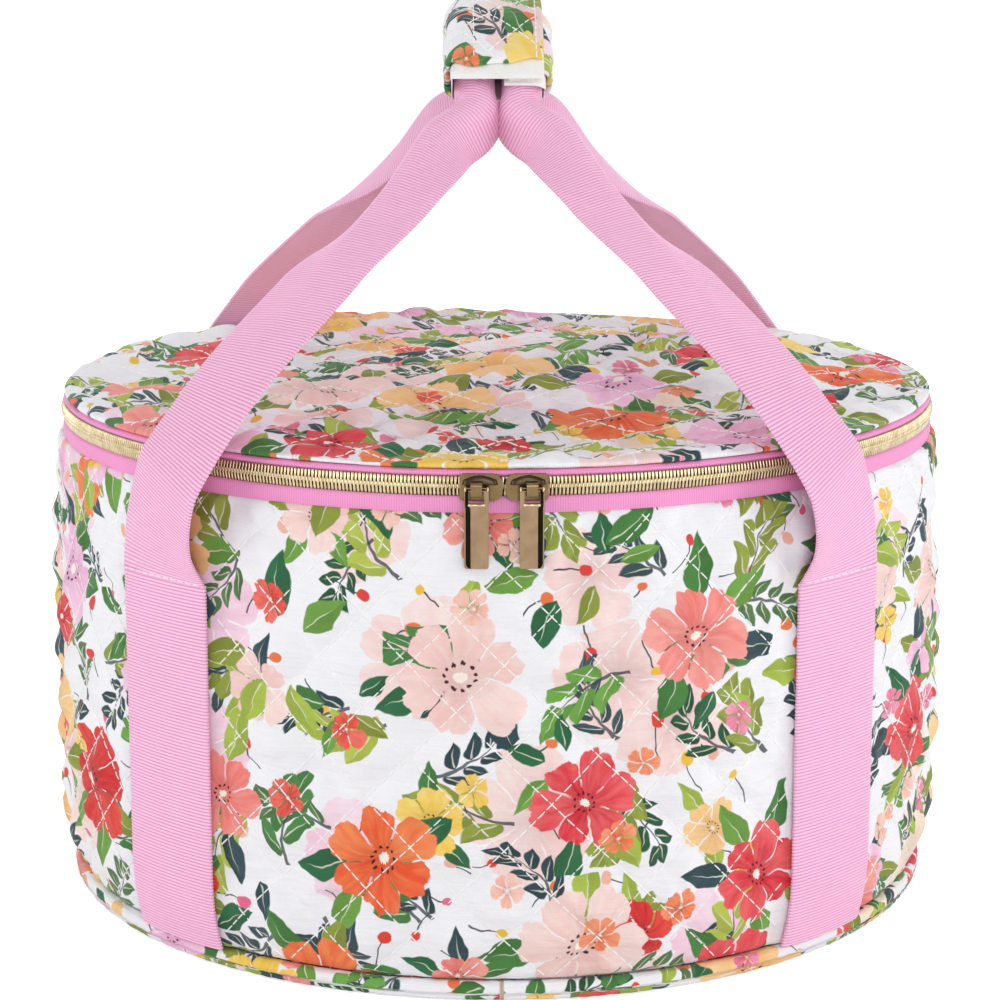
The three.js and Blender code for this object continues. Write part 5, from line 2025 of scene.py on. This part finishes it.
    def quilting(
        self, piece: bpy.types.Object, line: Callable[[float], np.ndarray], rows: Sequence[float]
    ) -> Sheet:
        """Thread on a layer of the wrap: crossed lines, and straight rows along the grip.

        Args:
            piece: the layer.
            line: from the arch's angle to the layer's section line.
            rows: distances of the straight rows from the layer's free edge.

        Returns:
            The stitches.
        """
        tree = surface_of(piece)
        run = np.linspace(-1, 1, 70) * (self.length / 2 - self.margin)
        trim = 1 - self.hem / (self.length / 2)
        courses = [number * self.diamond + lean * run for lean in (-1, 1) for number in range(-2, 8)]
        courses += [np.full_like(run, row) for row in rows]
        lines, ways = [], []
        for course in courses:
            spots = []
            for place_on, off in zip(run, course):
                section = line(place_on / self.arch_radius)
                along = lengths(section)
                along = along[-1] - along
                if not self.margin < off < along[0] - self.margin:
                    spots.append(None)
                    continue
                normal = self.normals(section)
                x, y, nx, ny = (np.interp(off, along[::-1], part[::-1]) for part in (*section.T, *normal.T))
                angle = place_on * trim / self.arch_radius
                start = self.arch(x + nx * self.cast_from, angle, y + ny * self.cast_from)
                spots.append(np.r_[start, -nx, ny * math.sin(angle), -ny * math.cos(angle)])
            for part in runs(np.array([spot is not None for spot in spots]), 5):
                both = np.array([spots[k] for k in part])
                lines.append(both[:, :3])
                ways.append(both[:, 3:])
        return sew(tree, lines, ways, Stitching(pitch=3.3, length=2.9, radius=0.22))

    def shell(
        self, line: Callable[[float], np.ndarray], thickness: float, puff: float, fabric_at: float,
        hem: float = 0.0,
    ) -> Sheet:
        """A layer of the wrap.

        Args:
            line: from the arch's angle to the layer's section line.
            thickness: the layer's thickness.
            puff: how far it swells between its stitched lines.
            fabric_at: where its cloth starts in the print.
            hem: how far its ends stay back from the lining's.

        Returns:
            The closed layer.
        """
        steps = 58
        angles = np.linspace(self.half_angle, -self.half_angle, steps + 1)
        points, cloth = [], []
        count = 0
        for angle in angles:
            section = line(float(angle))
            count = len(section)
            normal = self.normals(section)
            along = lengths(section)
            along = along[-1] - along
            place_on = float(angle) * self.arch_radius
            back = hem * (1 + 0.22 * np.sin(along / 5.5 + 0.8) + 0.1 * np.sin(along / 2.3))
            back = back + self.mouth_slope * smooth(-section[:, 1], -self.top, -self.bottom)
            trim = 1 - back / (self.length / 2)
            swell = puff * Quilting(diagonal=self.diamond).pillow(along, np.full_like(along, place_on))
            near = np.minimum(np.minimum(along, along[0] - along), self.length / 2 - abs(place_on))
            swell = swell * smooth(near, 0.3, 3.0) + 0.25 * puff * np.sin(along / 3.1 + place_on / 4.3)
            half = np.full(count, thickness / 2)
            half[[0, -1]] *= 0.5
            if abs(abs(angle) - self.half_angle) < 1e-6:
                half *= 0.55
                swell = swell * 0
            outer = section + normal * (half + swell)[:, None]
            inner = (section - normal * half[:, None])[::-1]
            both = np.vstack([outer, inner])
            run, trim = np.r_[along, along[::-1]], np.r_[trim, trim[::-1]]
            points.append(self.arch(both[:, 0], angle * trim, both[:, 1]))
            cloth.append(np.stack([run + fabric_at, place_on * trim, np.zeros_like(run)], -1))
        faces = grid_faces(steps + 1, 2 * count, round_columns=True)
        last = steps * 2 * count
        for k in range(count - 1):
            mirror = 2 * count - 1 - k
            faces.append((k, mirror, mirror - 1, k + 1))
            faces.append((last + k, last + k + 1, last + mirror - 1, last + mirror))
        return outward(Sheet(np.vstack(points), faces, np.vstack(cloth)))


def outward(sheet: Sheet) -> Sheet:
    """The same closed sheet with its faces turned outwards."""
    volume = 0.0
    for face in sheet.faces:
        a = sheet.points[face[0]]
        for second, third in zip(face[1:], face[2:]):
            volume += float(np.dot(a, np.cross(sheet.points[second], sheet.points[third])))
    if volume < 0:
        sheet.faces = [tuple(face)[::-1] for face in sheet.faces]
    return sheet


@dataclass
class Hardware:
    """Zip sliders, pulls and end stops: the frame's shapes with a cap, rods and facets on them; the dark cap
    and facets are painted reflections.
    """

    edge: float = 0.18
    zip_radius: float = 156.0
    chain_height: float = 171.35
    plate_face: float = 158.65
    pull_middle: float = 161.55
    pull_half: float = 3.8
    pull_face: float = 0.7
    pull_foot: float = -25.2
    eye_foot: float = -4.6
    slider_offset: float = 7.05
    crown_offset: float = 1.3
    cap_foot: float = 0.95
    cap_top: float = 3.95
    cap_droop: float = 1.5
    cap_bulge: float = 1.15
    cap_half: float = 5.6

    def build(self) -> None:
        """Dresses the metal pieces."""
        for side in Side:
            for name, finish in (("slider", AGED_GOLD), ("pull", GOLD), ("zipper_stop", AGED_GOLD)):
                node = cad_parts[f"{side.word}_{name}"]
                node.data.materials.clear()
                node.data.materials.append(finish.material())
                bevel = node.modifiers.new("edges", "BEVEL")
                bevel.width = self.edge * MM
                bevel.segments = 2
                bevel.limit_method = "ANGLE"
                bevel.angle_limit = math.radians(35)
                LOG.info("%s is plated", node.name)
            slider, pull = Body[f"{side.name}_SLIDER"], Body[f"{side.name}_PULL"]
            # The slider's cap is a dark painted reflection, and so is the pull's facet below.
            place(self.cap(side).build(f"{side.word}_slider_cap", PAINTED_REFLECTION_DARK), slider, Slot.GOLD)
            place(self.rods(side).build(f"{side.word}_pull_rods", TOOTH_GOLD), pull, Slot.GOLD)
            place(self.facet(side).build(f"{side.word}_pull_facet", PAINTED_REFLECTION_EDGE), pull, Slot.GOLD)

    def at(self, side: Side, across: np.ndarray, radius: np.ndarray, rise: np.ndarray) -> np.ndarray:
        """Points on a slider's carriage.

        Args:
            side: the slider.
            across: place along the chain from the slider's middle, away from the other slider.
            radius: distance from the carrier's axis.
            rise: height over the chain's middle.

        Returns:
            The points.
        """
        azimuth = side.value * self.slider_offset / self.zip_radius
        along = polar(azimuth + math.pi / 2, 1.0, 0.0) * side.value
        across, radius, rise = np.broadcast_arrays(across, radius, rise)
        return polar(azimuth, radius, self.chain_height + rise) + across[..., None] * along

    def cap(self, side: Side) -> Sheet:
        """The dark domed cap on the upper half of the slider's plate; its dark colour is a painted
        reflection.
        """
        rows, columns = 9, 17
        s = np.linspace(-1, 1, columns)[None, :]
        t = np.linspace(0, 1, rows)[:, None]
        top = self.cap_top - self.cap_droop * np.abs(s) ** 1.5
        rise = self.cap_foot + (top - self.cap_foot) * t
        bulge = self.cap_bulge * np.sqrt(np.maximum(1 - t**2, 0)) * (1 - s**6) ** 0.5
        across = s * (self.cap_half - 0.5 * t) + 0.3
        front = self.at(side, across, self.plate_face + 0.1 + bulge, rise)
        back = self.at(side, across, self.plate_face + 0.02, rise)[::-1]
        points = np.concatenate([front, back]).reshape(-1, 3)
        faces = grid_faces(2 * rows, columns, round_rows=True)
        for k in range(rows - 1):
            mirror = 2 * rows - 1 - k
            left = [n * columns for n in (k, k + 1, mirror - 1, mirror)]
            faces.append(tuple(left))
            right = [n * columns + columns - 1 for n in (k, mirror, mirror - 1, k + 1)]
            faces.append(tuple(right))
        return outward(Sheet(points, faces, points.copy()))

    def rods(self, side: Side) -> Sheet:
        """The pull's axle and the rod under its eye, each with round ends."""
        made = None
        stations = np.array([
            (-1, 0.02), (-0.985, 0.85), (-0.93, 1.18), (-0.85, 1.15), (-0.8, 0.8), (0, 0.78),
            (0.8, 0.8), (0.85, 1.15), (0.93, 1.18), (0.985, 0.85), (1, 0.02),
        ])
        turn = np.linspace(0, TURN, 10, endpoint=False)
        for rise, half, thick in ((0.0, 3.9, 0.72), (self.eye_foot - 0.35, 2.75, 0.6)):
            across = self.crown_offset + stations[:, :1] * half + 0 * turn[None]
            radius = self.pull_middle + 0.3 + stations[:, 1:] * thick * np.cos(turn)[None]
            level = rise + stations[:, 1:] * thick * np.sin(turn)[None]
            points = self.at(side, across, radius, level).reshape(-1, 3)
            faces = grid_faces(len(stations), len(turn), round_columns=True) + caps(len(turn), len(points))
            rod = outward(Sheet(points, faces, points.copy()))
            made = rod if made is None else made.add(rod)
        return made

    def facet(self, side: Side) -> Sheet:
        """The dark sloped edge along the outer side of the pull; its dark colour is a painted reflection."""
        foot = self.pull_foot
        rise = np.r_[np.linspace(0.2, foot + 1.6, 24), foot + 1.0, foot + 0.5, foot + 0.15]
        pull_in = np.r_[np.zeros(24), 0.25, 0.65, 1.2]
        inner = np.where(rise > self.eye_foot - 0.9, 2.5, 1.85)
        outer = self.pull_half + 0.06 - pull_in
        inner = np.minimum(inner, outer - 0.1)
        face = self.pull_middle + self.pull_face
        corners = (
            (inner, -0.05), (inner, 0.22), (inner * 0.3 + outer * 0.7, 0.1),
            (outer, -0.3), (outer, -1.3), (outer - 0.1, -1.3),
        )
        across = self.crown_offset + np.stack([place_on for place_on, _ in corners], 1)
        radius = face + np.array([depth for _, depth in corners])[None]
        points = self.at(side, across, radius, rise[:, None]).reshape(-1, 3)
        size = len(corners)
        faces = grid_faces(len(rise), size, round_columns=True) + caps(size, len(points))
        return outward(Sheet(points, faces, points.copy()))


@dataclass(frozen=True)
class Lamp:
    """A square soft lamp that looks at the carrier's axis; sizes in metres, power in watts."""

    name: str
    at: tuple[float, float, float]
    size: float
    power: float
    aim: float

    def hang(self) -> None:
        """Puts the lamp in the scene."""
        data = bpy.data.lights.new(self.name, "AREA")
        data.shape = "SQUARE"
        data.size = self.size
        data.energy = self.power
        lamp = bpy.data.objects.new(self.name, data)
        lamp.location = self.at
        way = Vector((0, 0, self.aim)) - Vector(self.at)
        lamp.rotation_euler = way.to_track_quat("-Z", "Y").to_euler()
        bpy.context.scene.collection.objects.link(lamp)


@dataclass
class Studio:
    """Camera, floor and light."""

    camera_height: float = 0.357
    camera_distance: float = 1.009
    pitch: float = 0.216
    turn: float = math.radians(-0.8)
    focal: float = 2.8045
    centre: tuple[float, float] = (0.497, 0.4905)
    surround_light: float = 0.44
    surround_seen: float = 0.56

    def build(self) -> None:
        """Sets the stage."""
        self.camera()
        self.floor()
        self.lights()
        bpy.context.scene.view_settings.view_transform = "Standard"

    def camera(self) -> None:
        """The camera at the photograph's viewpoint."""
        data = bpy.data.cameras.new("viewpoint")
        data.sensor_width = 36.0
        data.lens = 36.0 * self.focal
        data.shift_x = 0.5 - self.centre[0]
        data.shift_y = self.centre[1] - 0.5
        camera = bpy.data.objects.new("viewpoint", data)
        camera.location = polar(self.turn, self.camera_distance, self.camera_height).tolist()
        camera.rotation_euler = (math.pi / 2 - self.pitch, 0, self.turn)
        bpy.context.scene.collection.objects.link(camera)
        bpy.context.scene.camera = camera

    def floor(self) -> None:
        """A pale floor that rises softly into a backdrop."""
        line = [(-6.0, 0.0), (4.0, 0.0), (6.0, 0.0), (7.2, 0.25), (7.9, 0.9), (8.1, 2.0), (8.1, 6.0)]
        points = np.array([(x, y, z) for y, z in line for x in (-9.0, 9.0)]) / MM
        faces = grid_faces(len(line), 2)
        sheet = Sheet(points, [face[::-1] for face in faces], points.copy())
        floor = sheet.build("studio_floor", StudioPaper("studio_paper"), subdivide=2)

    def lights(self) -> None:
        """Soft lamps and a pale surround."""
        scene = bpy.context.scene
        world = bpy.data.worlds.new("surround")
        world.use_nodes = True
        sketch = Sketch(world.node_tree)
        background = world.node_tree.nodes["Background"]
        background.inputs["Color"].default_value = srgb("FFFFFF")
        strength = self.surround_light + seen_rays(sketch) * self.surround_seen
        sketch.feed(background.inputs["Strength"], strength)
        scene.world = world
        for lamp in (
            Lamp("key_panel", (0.25, -1.9, 0.8), 1.0, 11.0, 0.1),
            Lamp("left_panel", (-1.7, -0.5, 0.6), 1.1, 11.3, 0.12),
            Lamp("right_panel", (1.7, -0.5, 0.6), 1.1, 11.3, 0.12),
            Lamp("back_panel", (0.0, 1.3, 1.3), 1.0, 9.5, 0.18),
        ):
            lamp.hang()


@dataclass(frozen=True)
class StudioPaper(Finish):
    """Pale background paper."""

    colour: str = "FBFBFB"
    shaded: str = "F4F4F4"
    glow: float = 0.62

    def dress(self, sketch: Sketch, shader: bpy.types.Node) -> None:
        """Draws the material's nodes; see Finish.dress."""
        tone = sketch.noise(sketch.attribute("fabric"), 0.002, 2.0)
        sketch.fit(
            shader,
            Base_Color=sketch.mix(srgb(self.colour), srgb(self.shaded), tone),
            Emission_Strength=seen_rays(sketch) * self.glow,
            Emission_Color=srgb("FFFFFF"), Roughness=0.9, Specular_IOR_Level=0.1,
        )


def seen_rays(sketch: Sketch) -> Wire:
    """1 for rays that show the background, also mirrored or through glass, and 0 for its light."""
    path = sketch.node("ShaderNodeLightPath")
    straight, mirrored, through = (
        Wire(sketch, path.outputs[f"Is {kind} Ray"]) for kind in ("Camera", "Glossy", "Transmission")
    )
    return straight.math("MAXIMUM", mirrored).math("MAXIMUM", through)


def main() -> None:
    """Builds the sub-assemblies in order."""
    logging.basicConfig(level=logging.INFO, format="%(name)s: %(message)s")
    Studio().build()
    wall = SideWall()
    wall.build()
    Base().build()
    ZipChain().build()
    Lid().build()
    grip = Grip()
    Webbing(wall).build(grip)
    grip.build()
    Hardware().build()


if __name__ == "__main__":
    main()
